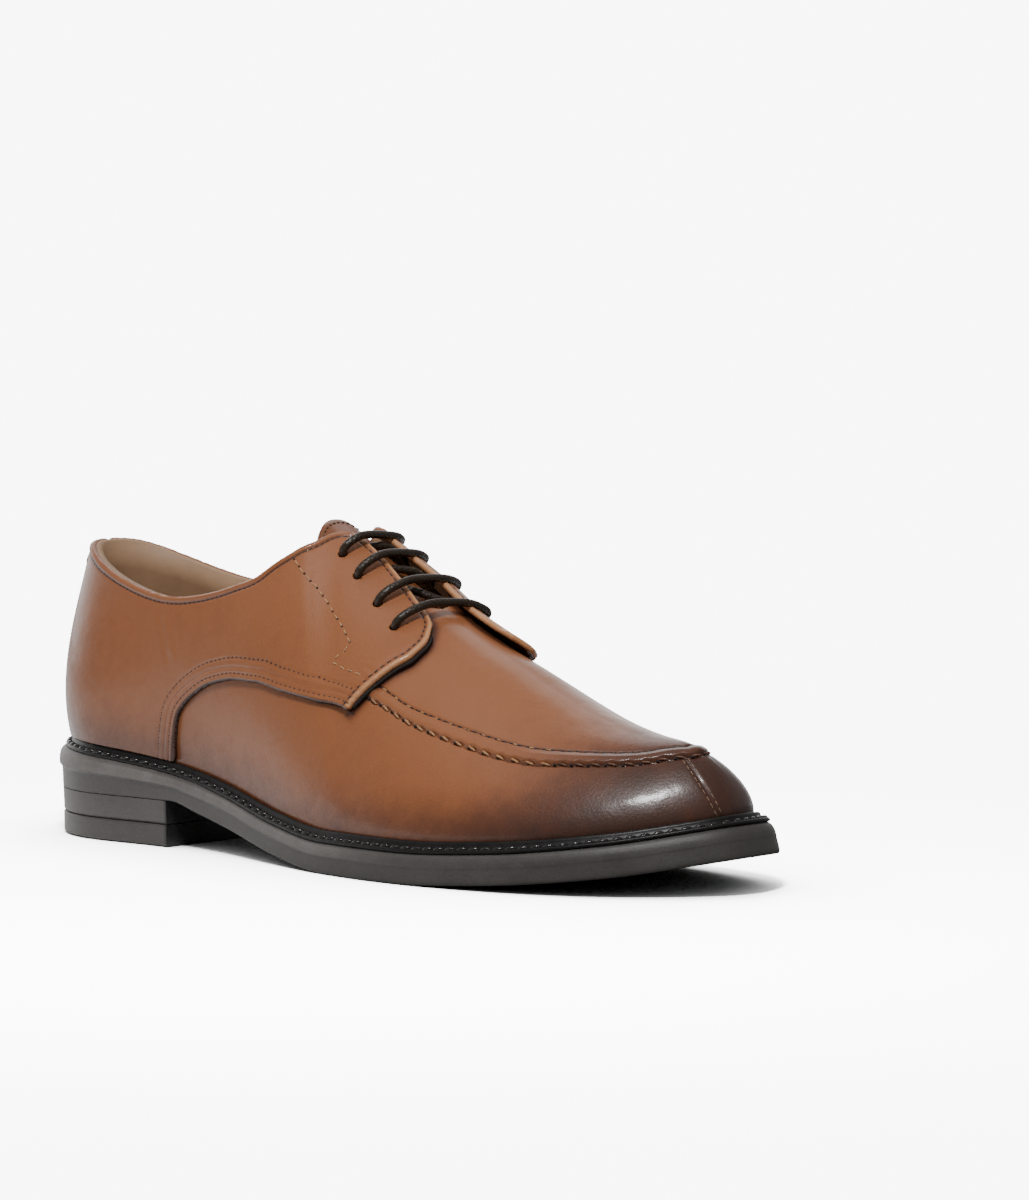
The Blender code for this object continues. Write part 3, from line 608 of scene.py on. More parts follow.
def burnish_at(points):
    x = points[..., 0]
    z = points[..., 2]
    height = z - sole_top(np.clip(x, -HALF_LENGTH, HALF_LENGTH))
    toe = eased(x, *TOE_BURNISH) * (1 - TOE_TOP_PALER * eased(z, *TOE_TOP_FADE))
    heel = eased(-x, *HEEL_BURNISH) * HEEL_DARK
    low = LOW_DARK + LOW_DARKER_AHEAD * eased(x, *LOW_AHEAD_STATIONS)
    return 1 - (1 - toe) * (1 - heel) * (1 - low * (1 - eased(height, *LOW_BURNISH)))


# Upper with the apron's stitched roll
OUTER_PITCH = 5.6
INNER_PITCH = 6.0
SCALLOP = 0.10
CREASE_WAVE = 0.02
APRON_START = (31.0, 36.0)
SEAM_START = 20.0
SEAM_POINTS = 1600
LINING_ROWS = 14
EDGE_SHADOW = 2.4
COLUMN_STATIONS = (5.0, 40.0)
COLUMN_COUNTS = (46, 50, 300)


def seam_lengths():
    """Length along the apron's seam for angles from the lateral to the medial facing."""
    first = float(angle_of(SEAM_START))
    angle = np.linspace(first, 2 * np.pi - first, SEAM_POINTS)
    share = (apron_outer(station_of(angle)) + apron_inner(station_of(angle))) / 2
    return angle, lengths_along(skin(angle, share))


seam_angle, seam_length = seam_lengths()


def apron_marks(angle, share):
    """Where points lie across the apron's strip, 0 at its outer edge and 1 at its inner edge, the
    scallops' reach there, the crease's place along the inner edge, and how much of the strip shows."""
    station = station_of(angle)
    outer = apron_outer(station)
    place = (share - outer) / (apron_inner(station) - outer)
    along = np.interp(angle, seam_angle, seam_length)
    scallop = SCALLOP * (np.abs(np.sin(np.pi * along / OUTER_PITCH)) - 0.5)
    crease = 1.0 + CREASE_WAVE * np.sin(2 * np.pi * along / INNER_PITCH)
    return place, scallop, crease, eased(station, *APRON_START)


def apron_height(angle, share):
    """How far the vamp stands out of the skin round the apron's stitched strip."""
    place, scallop, crease, shown = apron_marks(angle, share)
    edge = place + scallop * (1 - eased(place, 0.2, 0.5))
    strip = eased(edge, -0.04, 0.20) * (0.80 + 0.20 * np.sin(np.pi * np.clip(place, 0, 1)))
    height = APRON_ROLL * 0.85 * strip * (1 - 0.45 * eased(place, 0.45, 0.95))
    height -= 0.45 * groove(edge, -0.06, 0.08) + 0.55 * groove(place, crease, 0.055)
    return height * (1 - eased(place, 1.15, 4.0)) * shown


def apron_painted_shade(angle, share):
    """Painted shade in the apron's inner crease and painted shadow in the gap under its outer edge."""
    place, scallop, crease, shown = apron_marks(angle, share)
    gap = groove(place + scallop, -0.07, 0.06)
    return (0.75 * groove(place, crease, 0.06) + 0.65 * gap) * shown


# The split toe's seam: its angles at the welt and at the apron, and its valley
TOE_SEAM = (3.015, 2.885)
TOE_SEAM_BOW = 0.8
TOE_VALLEY_DEPTH = 0.35
TOE_VALLEY_WIDTH = 1.0
TOE_VALLEY_END = 0.08
TOE_VALLEY_START = 120.0


def toe_seam_angle(share):
    """The split toe's seam, which leans to the lateral side as it climbs."""
    climb = np.clip(share / apron_outer(150.0), 0, 1)
    return TOE_SEAM[0] + (TOE_SEAM[1] - TOE_SEAM[0]) * climb**TOE_SEAM_BOW


def toe_pinch(angle, share):
    """The shallow valley of the split toe's seam, below the apron."""
    station = station_of(angle)
    end = apron_outer(station)
    gap = np.linalg.norm(skin(angle, share) - skin(toe_seam_angle(share), share), axis=-1)
    below = 1 - eased(share, end - TOE_VALLEY_END, end)
    return -TOE_VALLEY_DEPTH * groove(gap, 0.0, TOE_VALLEY_WIDTH) * below * (station > TOE_VALLEY_START)


def upper_columns():
    """Angles from heel to toe, closer where the apron's stitched strip runs."""
    marks = [0.0] + [float(angle_of(station)) for station in COLUMN_STATIONS] + [np.pi]
    parts = [np.linspace(a, b, n, endpoint=False) for a, b, n in zip(marks, marks[1:], COLUMN_COUNTS)]
    return np.concatenate(parts + [[np.pi]])


def slot_half(x):
    """Half the throat slot's width, round at its lower end."""
    return SLOT_HALF * np.sqrt(np.clip(1 - np.clip((x - THROAT_X) / SLOT_HALF + 1, 0, 1) ** 2, 0, 1))


def upper_end(angle):
    """The share at which the upper's wall ends: at the collar, the throat slot or the ridge."""

    def outside(share):
        point = skin(angle, share)
        return np.abs(point[:, 1] - ridge_y(point[:, 0])) > slot_half(point[:, 0])

    station = station_of(angle)
    slot = crossing(np.full_like(angle, 0.5), np.ones_like(angle), outside)[1]
    end = np.where(station >= THROAT_STATION, 1.0, slot)
    return np.where(station <= COLLAR_END, collar_share(station), end)


def shadow_under_edges(points):
    """Painted shadow on the vamp close under the quarters' edges."""
    dark = np.zeros(points.shape[:-1])
    for side in TAB_LIFT:
        gap = nearest(points, front_lines[side])
        dark = np.maximum(dark, groove(gap, 0.0, EDGE_SHADOW))
    return dark


def make_upper(finish, lining):
    lateral = upper_columns()
    angles = np.concatenate([lateral, 2 * np.pi - lateral[-2:0:-1]])
    station = station_of(angles)
    outer = apron_outer(station)
    width = apron_inner(station) - outer
    ends = upper_end(angles)
    # Shares up the wall: beside the welt, up to the seam, across it, over its shoulder, on to the end
    low = outer - 1.2 * width
    high = outer + width
    shoulder = high + np.minimum(1.6 * width, 0.85 * (ends - high))
    rows = [np.full(len(angles), share) for share in (-1.0, -0.4, 0.0)]
    for start, end, count in ((0.0, low, 22), (low, high, 40), (high, shoulder, 16), (shoulder, ends, 30)):
        rows += [start + (end - start) * t for t in np.linspace(0, 1, count)[1:]]
    shares = np.stack(rows, 1)
    wide = np.broadcast_to(angles[:, None], shares.shape)
    height = apron_height(wide, shares) + toe_pinch(wide, shares)
    points = offset_skin(wide, shares, height)
    count, deep = shares.shape
    inside = np.stack([shares[:, 0] + (ends - shares[:, 0]) * t for t in np.linspace(0, 1, LINING_ROWS)], 1)
    inner = offset_skin(angles[:, None], inside, -WALL)
    # The burnish mark here also carries painted shade in the apron's crease, and painted shadow under the
    # apron's outer edge and under the quarters' edges.
    burnish_and_shade = np.clip(burnish_at(points) + apron_painted_shade(wide, shares) + shadow_under_edges(points), 0, 1)
    add_piece("upper_vamp", points.reshape(-1, 3), grid_faces(count, deep, True), finish, "leather",
              ["upper"], {"burnish_and_shade": burnish_and_shade, "edge": np.zeros(burnish_and_shade.shape)}, weld=True)
    # The lining, with the rim that joins it to the outside
    rim = np.stack([points[:, -1], inner[:, -1]], 1)
    foot = np.stack([inner[:, 0], points[:, 0]], 1)
    open_rim = [
        face for face in grid_faces(count, 2, True)
        if ends[face[0] // 2] < 1 or ends[face[1] // 2] < 1 or station[face[0] // 2] < 0
    ]
    start = count * LINING_ROWS
    faces = list(grid_faces(count, LINING_ROWS, True)[:, ::-1])
    faces += [np.asarray(face) + start for face in open_rim]
    faces += list(grid_faces(count, 2, True, start + count * 2))
    lined = np.concatenate([inner.reshape(-1, 3), rim.reshape(-1, 3), foot.reshape(-1, 3)])
    add_piece("upper_lining", lined, faces, lining, "lining", ["upper"], weld=True)


# Quarters: a laid-on sheet with its folded edges, stitch valleys and lifted tab
ARCH_START = 5
ARCH_ROWS = (2.2, 4.4, 7.4)
FRONT_ROW = 2.5
COLLAR_ROW = 2.5
EDGE_HEIGHT = 0.9
EDGE_ROUND = 0.9
VALLEYS = (
    # edge, distance from it, depth, width. The collar's own edge swells instead
    ("arch", ARCH_ROWS[0], 0.24, 0.5),
    ("arch", ARCH_ROWS[1], 0.30, 0.45),
    ("arch", ARCH_ROWS[2], 0.24, 0.5),
    ("front", FRONT_ROW, 0.30, 0.5),
    ("top", COLLAR_ROW, 0.42, 0.5),
    ("top", 1.2, -0.30, 0.9),
)
CREASES = (
    # station and share where a crease starts and ends, depth, width
    (33.0, 0.540, 39.5, 0.565, 0.09, 0.9),
    (31.5, 0.525, 38.0, 0.525, 0.11, 0.9),
    (30.0, 0.510, 36.0, 0.490, 0.10, 0.9),
    (35.0, 0.565, 41.5, 0.605, 0.07, 0.9),
    (-84.0, 0.86, -78.0, 0.62, 0.07, 1.5),
    (-76.0, 0.87, -71.0, 0.66, 0.08, 1.7),
    (-70.0, 0.86, -66.0, 0.70, 0.05, 1.7),
)
VISUAL_GAP = 0.05
TAB_SOFT = 7.0


def tab_lift(points, side):
    """How far a facing stands off the vamp at points of the skin."""
    height, start, full, fall, end = TAB_LIFT[side]
    line = front_lines[side]
    along = np.linspace(0, 1, len(line))
    stretch = eased(along, start, full) * (1 - eased(along, fall, end))

    def lift(part):
        gaps = square_gaps(part, line)
        least = gaps.min(1)
        weight = np.exp((least[:, None] - gaps) / TAB_SOFT**2)
        return height * np.exp(-least / TAB_SPREAD**2) * (weight @ stretch) / weight.sum(1)

    return in_parts(points, lift)


class Quarter:
    """One quarter's edges, as lines on the skin, and the height of its outside above the skin."""

    def __init__(self, side):
        self.side = side
        self.arch = outline_on(QUARTER_BOTTOM[ARCH_START:], side)
        self.front = outline_on(facing_rows(side), side)
        self.top = outline_on(QUARTER_TOP, side, 320)
        self.edges = {"arch": skin(*self.arch), "front": skin(*self.front), "top": skin(*self.top)}
        self.creases = []
        for start, low, end, high, depth, width in CREASES if side == "lateral" else ():
            line = skin(*straight_on(((start, low), (end, high)), side, 40))
            self.creases.append((line, depth, width))

    def gaps(self, points):
        """Distances from points to each edge."""
        return {name: nearest(points, line) for name, line in self.edges.items()}

    def outside(self, points):
        """Height of the sheet's outside over the skin."""
        gaps = self.gaps(points)
        inward = np.clip(np.minimum.reduce(list(gaps.values())) / EDGE_ROUND, 0, 1)
        rise = QUARTER_THICK + QUARTER_GAP - EDGE_HEIGHT
        height = EDGE_HEIGHT + rise * np.sqrt(np.clip(1 - (1 - inward) ** 2, 0, 1))
        for edge, distance, depth, width in VALLEYS:
            height -= depth * groove(gaps[edge], distance, width)
        for line, depth, width in self.creases:
            gap = nearest(points, line)
            height -= depth * (groove(gap, 0.0, width) - 0.5 * groove(gap, 1.8 * width, width))
        return height + tab_lift(points, self.side)


def quarter_grid(side):
    """Angles and shares over a quarter, blended between its edges, closer at the edges."""
    tight = np.array([0, 0.002, 0.004, 0.0065, 0.010, 0.014, 0.019])
    s = np.concatenate([tight, np.linspace(0.025, 0.975, 210), 1 - tight[::-1]])
    r = np.concatenate([tight * 1.6, np.linspace(0.04, 0.96, 84), 1 - 1.6 * tight[::-1]])
    front_rows = facing_rows(side)
    top_rows = list(QUARTER_TOP[:-1]) + front_rows[: TAB_CORNER - 1 : -1]
    bottom = curve_on(QUARTER_BOTTOM, side, s)
    top = curve_on(top_rows, side, s**TOP_LAG)
    front = curve_on(front_rows[: TAB_CORNER + 1], side, r)
    s = s[:, None, None]
    r = r[:, None]
    bulge = front - (1 - r) * bottom[-1] - r * top[-1]
    return (1 - r) * bottom[:, None] + r * top[:, None] + s**2 * bulge


def make_quarter(side, finish):
    quarter = Quarter(side)
    grid = quarter_grid(side)
    angle = grid[..., 0]
    share = grid[..., 1]
    base = skin(angle, share)
    outer = offset_skin(angle, share, quarter.outside(base))
    inner = offset_skin(angle, share, VISUAL_GAP + tab_lift(base, side))
    burnish_and_shade = burnish_at(outer)
    arch, front, top = quarter.gaps(base).values()
    # Added to the burnish: the arch's cut edge, partly its own dark and partly painted shade, and painted
    # shade along the stitch valleys of the arch, front and collar.
    burnish_and_shade += 0.95 * (1 - eased(arch, 0.3, 1.0)) + 0.12 * groove(arch, ARCH_ROWS[1], 0.35)
    burnish_and_shade += 0.35 * groove(front, FRONT_ROW, 0.5) + 0.75 * groove(top, COLLAR_ROW, 0.42)
    # The edge mark: the tan of the folded front edge, partly the fold's own paler colour and partly a painted
    # highlight.
    edge = (1 - eased(front, 1.1, 1.7)) * eased(arch, 0.6, 1.4) * eased(top, 0.5, 1.5)
    burnish_and_shade = np.clip(burnish_and_shade, 0, 1)
    points = np.concatenate([outer.reshape(-1, 3), inner.reshape(-1, 3)])
    marks = {
        "burnish_and_shade": np.concatenate([burnish_and_shade.ravel(), burnish_and_shade.ravel()]),
        "edge": np.concatenate([edge.ravel(), edge.ravel()]),
    }
    faces = plate_faces(*angle.shape)
    if side == "medial":
        faces = faces[:, ::-1]
    piece = add_piece("quarter_" + side + "_leather", points, faces, finish, "leather",
                      ["quarter_" + side], marks)
    punch_eyelets(piece, side)
    return quarter


HOLE_RADIUS = 1.7
HOLE_SIDES = 20
HOLE_HEIGHTS = (-6.0, 0.0, 12.0)
EYELETS_AHEAD = 0.5


def eyelet_station(station, side):
    """An eyelet's station, moved ahead with the medial facing but by less than its tab."""
    return station + EYELETS_AHEAD * (facing_station(station, side) - station)


def punch_eyelets(piece, side):
    """Cut the eyelets through the facing."""
    cutters = []
    for station, share in EYELETS:
        angle = float(angle_of(eyelet_station(station, side), side))
        path = np.array([offset_skin(angle, share, height) for height in HOLE_HEIGHTS])
        ring = tube_grid(path, HOLE_RADIUS, HOLE_SIDES).reshape(-1, 3)
        mesh = new_mesh("eyelet_cutter", ring, tube_faces(len(path), HOLE_SIDES))
        reform(mesh, lambda form: bmesh.ops.recalc_face_normals(form, faces=form.faces))
        cutters.append(add_object("eyelet_cutter", mesh))
        cut = piece.modifiers.new("eyelet", "BOOLEAN")
        cut.operation = "DIFFERENCE"
        cut.solver = "EXACT"
        cut.object = cutters[-1]
    bpy.context.view_layer.update()
    graph = bpy.context.evaluated_depsgraph_get()
    shaped = piece.evaluated_get(graph)
    mesh = bpy.data.meshes.new_from_object(shaped, preserve_all_data_layers=True, depsgraph=graph)
    piece.modifiers.clear()
    piece.data = mesh
    for cutter in cutters:
        bpy.data.objects.remove(cutter, do_unlink=True)


TONGUE_HEM = 2.2
TONGUE_BURNISH = 0.3
TONGUE_GRID = (60, 61)


def make_tongue(finish):
    outside, inside = tongue_sheets(*TONGUE_GRID)
    points = np.concatenate([outside.reshape(-1, 3), inside.reshape(-1, 3)])
    marks = {"burnish_and_shade": np.full(len(points), TONGUE_BURNISH), "edge": np.zeros(len(points))}
    faces = plate_faces(*TONGUE_GRID)
    add_piece("tongue_leather", points, faces, finish, "leather_dark", ["tongue"], marks)
    # A row of stitches inside the top edge
    along = unit(outside[0] - outside[8])
    outward = (outside[0] - inside[0]) / TONGUE_THICK
    sew("tongue", outside[0] - along * TONGUE_HEM, outward)


# Lace: one cord, over as bars and under as slants, from the lowest eyelets up
CORD_RADIUS = 1.45
CORD_STEPS = 900
CORD_SIDES = 16
LACE_OVER = QUARTER_GAP + QUARTER_THICK + CORD_RADIUS
LACE_UNDER = -WALL - CORD_RADIUS
LACE_STEPS = (
    # share of the way from the eyelet to the facing's edge, lateral and medial height over the skin
    (0.00, LACE_UNDER, LACE_UNDER),
    (0.00, 0.9, 0.9),
    (0.10, LACE_OVER + 0.5, LACE_OVER - 0.2),
    (0.45, LACE_OVER + 1.9, LACE_OVER - 0.4),
    (1.00, LACE_OVER + 1.8, LACE_OVER - 0.9),
)
SLANT_STEPS = (
    # station ahead of the lower medial eyelet, side, share, height over the skin
    (1.0, "medial", 0.86, -1.8),
    (0.0, "medial", 0.97, -0.8),
    (-3.0, "lateral", 0.88, -1.8),
)
FACING_EDGE = 0.885


def plane_angles(start, shares, point, ahead, turn):
    """The angles, from a start on, at which a plane meets the skin at some shares."""
    low = np.full(len(shares), start - 0.2 * turn)
    return crossing(low, low + turn, lambda angle: (skin(angle, shares) - point) @ ahead < 0)[0]


def lace_bar(station, share):
    """From inside the lateral eyelet straight over both facings to inside the medial eyelet."""
    starts = [float(angle_of(eyelet_station(station, side), side)) for side in ("lateral", "medial")]
    near, far = (skin(start, share) for start in starts)
    middle = (near[0] + far[0]) / 2
    climb = float(ridge_z(middle + 0.5) - ridge_z(middle - 0.5))
    ahead = np.cross(far - near, [-climb, 0.0, 1.0])
    steps = np.array(LACE_STEPS)
    shares = share + (FACING_EDGE - share) * steps[:, 0]
    halves = []
    for start, turn, side, heights in zip(starts, (0.9, -0.9), ("lateral", "medial"), steps.T[1:]):
        angles = plane_angles(start, shares, near, ahead, turn)
        lift = np.where(heights > 0, tab_lift(skin(angles, shares), side), 0)
        halves.append(offset_skin(angles, shares, heights + lift))
    top = (halves[0][-1] + halves[1][-1]) / 2 + UP * 0.4
    return list(halves[0]) + [top] + list(halves[1][::-1])


def lace_route():
    points = []
    for number in (3, 2, 1, 0):
        station, share = EYELETS[number]
        points += lace_bar(station, share)
        for ahead, side, place, height in SLANT_STEPS if number else ():
            angle = float(angle_of(eyelet_station(station, side) + ahead, side))
            points.append(offset_skin(angle, place, height))
    return np.array(points)


def make_lace(finish):
    path = smooth_path(lace_route(), CORD_STEPS)
    ring = tube_grid(path, CORD_RADIUS, CORD_SIDES)
    turn = np.tile(np.arange(CORD_SIDES) / CORD_SIDES, CORD_STEPS)
    marks = {"along": np.repeat(lengths_along(path) * METRE, CORD_SIDES), "turn": turn}
    nodes = [f"lace_bar_{i}" for i in (1, 2, 3, 4)]
    add_piece("lace_cord", ring.reshape(-1, 3), tube_faces(CORD_STEPS, CORD_SIDES), finish, "lace",
              nodes, marks)


def turned(right, up, degrees):
    """Two directions at right angles, turned in their plane."""
    roll = math.radians(degrees)
    return right * math.cos(roll) + up * math.sin(roll), up * math.cos(roll) - right * math.sin(roll)


# Threads: every stitch a short round-ended piece, gathered into one mesh for each colour
threads = {}
STITCHES = {
    # row: thread, pitch, length as a share of the pitch, width, height, depth it sinks, slant in degrees
    "tongue": ("dark", 2.2, 0.72, 0.6, 0.45, 0.0, 0.0),
    "welt": ("black", 4.6, 0.86, 1.7, 1.5, 0.05, 16.0),
    # The two gap rows are painted shadow: dark strips laid under the arch's and the tab's edges
    "arch shadow": ("hole", 2.0, 2.6, 0.45, 0.5, 0.0, 0.0),
    "arch": ("brown", 2.3, 0.62, 0.5, 0.4, 0.12, 0.0),
    "arch pricks": ("hole", 2.3, 0.24, 0.7, 0.3, 0.06, 0.0),
    "tab shadow": ("hole", 2.0, 2.6, 1.1, 1.5, 0.0, 0.0),
    "front": ("dark", 2.6, 0.74, 0.65, 0.5, 0.06, 0.0),
    "collar": ("dark", 2.2, 0.80, 0.75, 0.5, 0.10, 0.0),
    "fancy": ("tan", 3.8, 0.66, 0.6, 0.45, 0.0, 0.0),
    "fancy pricks": ("hole", 3.8, 0.22, 0.85, 0.3, 0.02, 0.0),
    "apron": ("apron", OUTER_PITCH, 0.64, 0.85, 0.8, 0.0, -16.0),
    "apron at toe": ("brown", OUTER_PITCH, 0.64, 0.85, 0.8, 0.0, -16.0),
    "apron pricks": ("hole", OUTER_PITCH, 0.22, 1.3, 0.5, 0.25, 0.0),
    "crease glints": ("apron", INNER_PITCH, 0.34, 0.6, 0.5, 0.0, 0.0),
    "crease": ("dark", INNER_PITCH / 2, 0.62, 0.7, 0.5, 0.0, 0.0),
    "toe": ("toe", 2.4, 0.78, 0.36, 0.30, 0.02, 0.0),
    "back slits": ("hole", 2.0, 2.2, 0.6, 0.4, 0.0, 0.0),
}
THREAD_U = np.array([-1.0, -0.86, -0.45, 0.0, 0.45, 0.86, 1.0])
THREAD_SIDES = 7


def sew(row, line, outward, between=False):
    """A row of stitches along a line of points, or what lies between its stitches."""
    thread, pitch, length, width, height, sink, slant = STITCHES[row]
    start = -pitch / 2 if between else 0.0
    gone = lengths_along(line)
    count = max(1, int((gone[-1] - start) / pitch))
    middle = start + (np.arange(count) + 0.5) * (gone[-1] - start) / count
    place = at_lengths(middle, gone, line)
    up = unit(at_lengths(middle, gone, outward))
    along = at_lengths(middle + 0.3, gone, line) - at_lengths(middle - 0.3, gone, line)
    along = unit(along - up * (along * up).sum(1, keepdims=True))
    along, across = turned(along, np.cross(up, along), slant)
    turn = np.arange(THREAD_SIDES) * 2 * np.pi / THREAD_SIDES
    swell = np.sqrt(np.clip(1 - THREAD_U**4, 0.02, 1))
    far = (THREAD_U * pitch * length / 2)[:, None, None]
    wide = (np.outer(swell, np.cos(turn)) * width / 2)[..., None]
    bow = (1 - THREAD_U[:, None] ** 2) * height * 0.25
    high = (np.outer(swell, np.sin(turn)) * height / 2 + bow - sink)[..., None]
    body = place[:, None, None] + along[:, None, None] * far
    body = body + across[:, None, None] * wide + up[:, None, None] * high
    threads.setdefault(thread, []).append(body.reshape(count, -1, 3))


def make_threads(finishes):
    one = tube_faces(len(THREAD_U), THREAD_SIDES)
    for thread, groups in threads.items():
        bodies = np.concatenate(groups)
        firsts = range(0, bodies.shape[0] * bodies.shape[1], bodies.shape[1])
        faces = [[first + i for i in face] for first in firsts for face in one]
        finish, slot = finishes[thread]
        add_piece("thread_" + thread, bodies.reshape(-1, 3), faces, finish, slot)


def sew_on_quarter(quarter, line, row, between=False):
    angle, share = line
    share = np.clip(share, 0, 1)
    place = offset_skin(angle, share, quarter.outside(skin(angle, share)))
    sew(row, place, skin_normal(angle, share), between)


DECO = (
    # station, share: the facing's fancy seam, down to its kink and out to the tab's front
    (6.5, 0.780), (12.6, 0.700), (17.4, 0.642), (21.5, 0.604), (25.8, 0.580),
    (28.4, 0.558), (25.8, 0.525), (20.0, 0.483), (26.0, 0.483), (33.5, 0.497),
)


# The painted shadow under the arch's edge and a tab's edge, laid as dark thread: its height on the skin,
# place before the edge, and stretch of the edge's points
ARCH_SHADOW_HEIGHT = 0.25
TAB_SHADOW_HEIGHT = 0.3
TAB_SHADOW_AHEAD = 0.5
TAB_SHADOW_PART = {"lateral": slice(8, 96), "medial": slice(8, 40)}


def sew_quarter(quarter):
    sign = 1 if quarter.side == "lateral" else -1
    # Painted shadow: a dark strip just under the arch's edge.
    sew("arch shadow", offset_skin(*quarter.arch, ARCH_SHADOW_HEIGHT), skin_normal(*quarter.arch))
    for distance in (ARCH_ROWS[0], ARCH_ROWS[2]):
        line = beside(*quarter.arch, distance * sign)
        sew_on_quarter(quarter, line, "arch")
        sew_on_quarter(quarter, line, "arch pricks", between=True)
    # Painted shadow: a black strip under the tab's lifted front edge.
    angle, share = beside(*quarter.front, -TAB_SHADOW_AHEAD * sign)
    share = np.clip(share, 0, 1)
    under = offset_skin(angle, share, tab_lift(skin(angle, share), quarter.side) / 2 + TAB_SHADOW_HEIGHT)
    part = TAB_SHADOW_PART[quarter.side]
    sew("tab shadow", under[part], skin_normal(angle, share)[part])
    sew_on_quarter(quarter, beside(*quarter.front, FRONT_ROW * sign), "front")
    sew_on_quarter(quarter, beside(*quarter.top, -COLLAR_ROW * sign), "collar")
    fancy = straight_on(DECO, quarter.side)
    sew_on_quarter(quarter, fancy, "fancy")
    sew_on_quarter(quarter, fancy, "fancy pricks", between=True)


# The apron's stitches: where they start, where their thread turns dark, and their height on the strip
APRON_STITCH_START = 34.0
GLINT_START = 38.0
PALE_END = 100.0
OUTER_STITCH_HEIGHT = 0.25
CREASE_STITCH_HEIGHT = 0.2


def sew_apron():
    """Bold stitches round the outer edge, pale up to the burnished toe, and finer ones in the crease."""
    first = float(angle_of(APRON_STITCH_START))
    angle = np.linspace(first, 2 * np.pi - first, 900)
    station = station_of(angle)
    outer = apron_outer(station)
    width = apron_inner(station) - outer
    share = outer - 0.02 * width
    line = offset_skin(angle, share, np.maximum(apron_height(angle, share), 0) + OUTER_STITCH_HEIGHT)
    normal = skin_normal(angle, share)
    pale = station < PALE_END
    near = pale & (angle < np.pi)
    far = pale & (angle >= np.pi)
    for row, part in (("apron", near), ("apron", far), ("apron at toe", ~pale)):
        sew(row, line[part], normal[part])
        sew("apron pricks", line[part], normal[part], between=True)
    share = outer + width
    line = offset_skin(angle, share, apron_height(angle, share) + CREASE_STITCH_HEIGHT)
    for half in (near, far):
        part = half & (station > GLINT_START)
        sew("crease glints", line[part], normal[part])
    sew("crease", line, normal)


TOE_STITCH_ENDS = 0.03
TOE_STITCH_ASIDE = 1.0


def sew_toe():
    """Two rows of small stitches along the split toe's seam."""
    share = np.linspace(TOE_STITCH_ENDS, float(apron_outer(HALF_LENGTH)) - TOE_STITCH_ENDS, 120)
    for offset in (-TOE_STITCH_ASIDE, TOE_STITCH_ASIDE):
        angle, moved = beside(toe_seam_angle(share), share, offset)
        line = offset_skin(angle, moved, toe_pinch(angle, moved))
        sew("toe", line, skin_normal(angle, moved))


SLIT_SHARES = (0.985, 0.905)
SLIT_ANGLES = (0.10, 0.31)


def sew_back():
    """The short dark slits beside the back tab, slanting away from the heel's seam."""
    share = np.linspace(*SLIT_SHARES, 30)
    slant = np.linspace(*SLIT_ANGLES, 30)
    for angle in (slant, 2 * np.pi - slant):
        line = offset_skin(angle, share, QUARTER_GAP + QUARTER_THICK)
        sew("back slits", line, skin_normal(angle, share))


# Sole
def ring_at(angle, inset, height):
    """Points round the sole's edge, moved inward, at heights that follow from their place."""
    place, outward = sole_edge(angle)
    place = place - outward * np.asarray(inset, float)[..., None]
    return np.column_stack([place, height(place[:, 0])])


def rounded(rows):
    """Rows of a section as a finer line with its corners eased."""
    rows = np.array(rows, float)
    for _ in range(2):
        cut = np.concatenate([rows[:1], np.repeat(rows, 2, 0)[1:-1], rows[-1:]])
        a = cut[1:-1:2]
        b = cut[2:-1:2]
        corners = np.stack([0.8 * a + 0.2 * b, 0.2 * a + 0.8 * b], 1).reshape(-1, rows.shape[1])
        rows = np.concatenate([rows[:1], corners, rows[-1:]])
    return rows


def slab_faces(count, levels):
    """The faces of a solid through closed rings, from the top ring down."""
    side = []
    for level in range(levels - 1):
        a = level * count + np.arange(count)
        b = level * count + (np.arange(count) + 1) % count
        side.append(np.stack([b, a, a + count, b + count], -1))
    faces = [tuple(f) for f in np.concatenate(side)]
    half = count // 2
    for first, flip in ((0, False), ((levels - 1) * count, True)):
        for i in range(half):
            face = [first + i, first + i + 1, first + (count - i - 1) % count, first + (count - i) % count]
            face = list(dict.fromkeys(face))
            faces.append(tuple(face[::-1] if flip else face))
    return faces


# The sole's edge, with the heel's lift flush under it
SOLE_LOOK = SOLE_EDGE[:-1] + ((0.45, -0.9, 1.0),)
HALF_RING = 260


def sole_light_and_shade_tone(x, share):
    """How pale the sole's edge is: painted light on the top lip round heel and waist, darker towards the toe,
    and painted shade on the bottom rim ahead of the heel.
    """
    # Painted light: the top lip, a bevel facing up, is paler.
    lip = (1 - eased(share, 0.36, 0.46)) * (1 - eased(x, -20.0, 60.0))
    tone = 0.95 + 0.30 * lip + 0.95 * lip * eased(share, 0.04, 0.14)
    tone = tone - 0.30 * eased(x, 70.0, 140.0)
    # Painted shade: the bottom rim ahead of the heel's breast is darker.
    return tone * (1 - 0.85 * eased(share, 0.97, 1.0) * eased(x, HEEL_BREAST - 3, HEEL_BREAST + 3))


def make_outsole(finish):
    angle = np.arange(2 * HALF_RING) * np.pi / HALF_RING
    forward = eased(station_of(angle), *HEEL_EDGE_STATIONS)
    rings = []
    tones = []
    for heel_move, fore_move, share in rounded(SOLE_LOOK):

        def height(x, share=share):
            return sole_top(x) + (sole_under(x) - sole_top(x)) * share

        ring = ring_at(angle, -heel_move - (fore_move - heel_move) * forward, height)
        ring[:, 0] += TOE_REACH * share * eased(ring[:, 0], TOE_REACH_START, HALF_LENGTH)
        rings.append(ring)
        tones.append(sole_light_and_shade_tone(ring[:, 0], share))
    marks = {"tone": np.concatenate(tones)}
    add_piece("outsole_rubber", np.concatenate(rings), slab_faces(len(angle), len(rings)), finish, "rubber",
              ["outsole"], marks)


HEEL_POINTS = 90
BREAST_SHADE_TONE = 0.12
BREAST_SHADE_DEPTH = 0.6
HEEL_BEVEL = 0.4
HEEL_BEVEL_ANGLE = 35.0


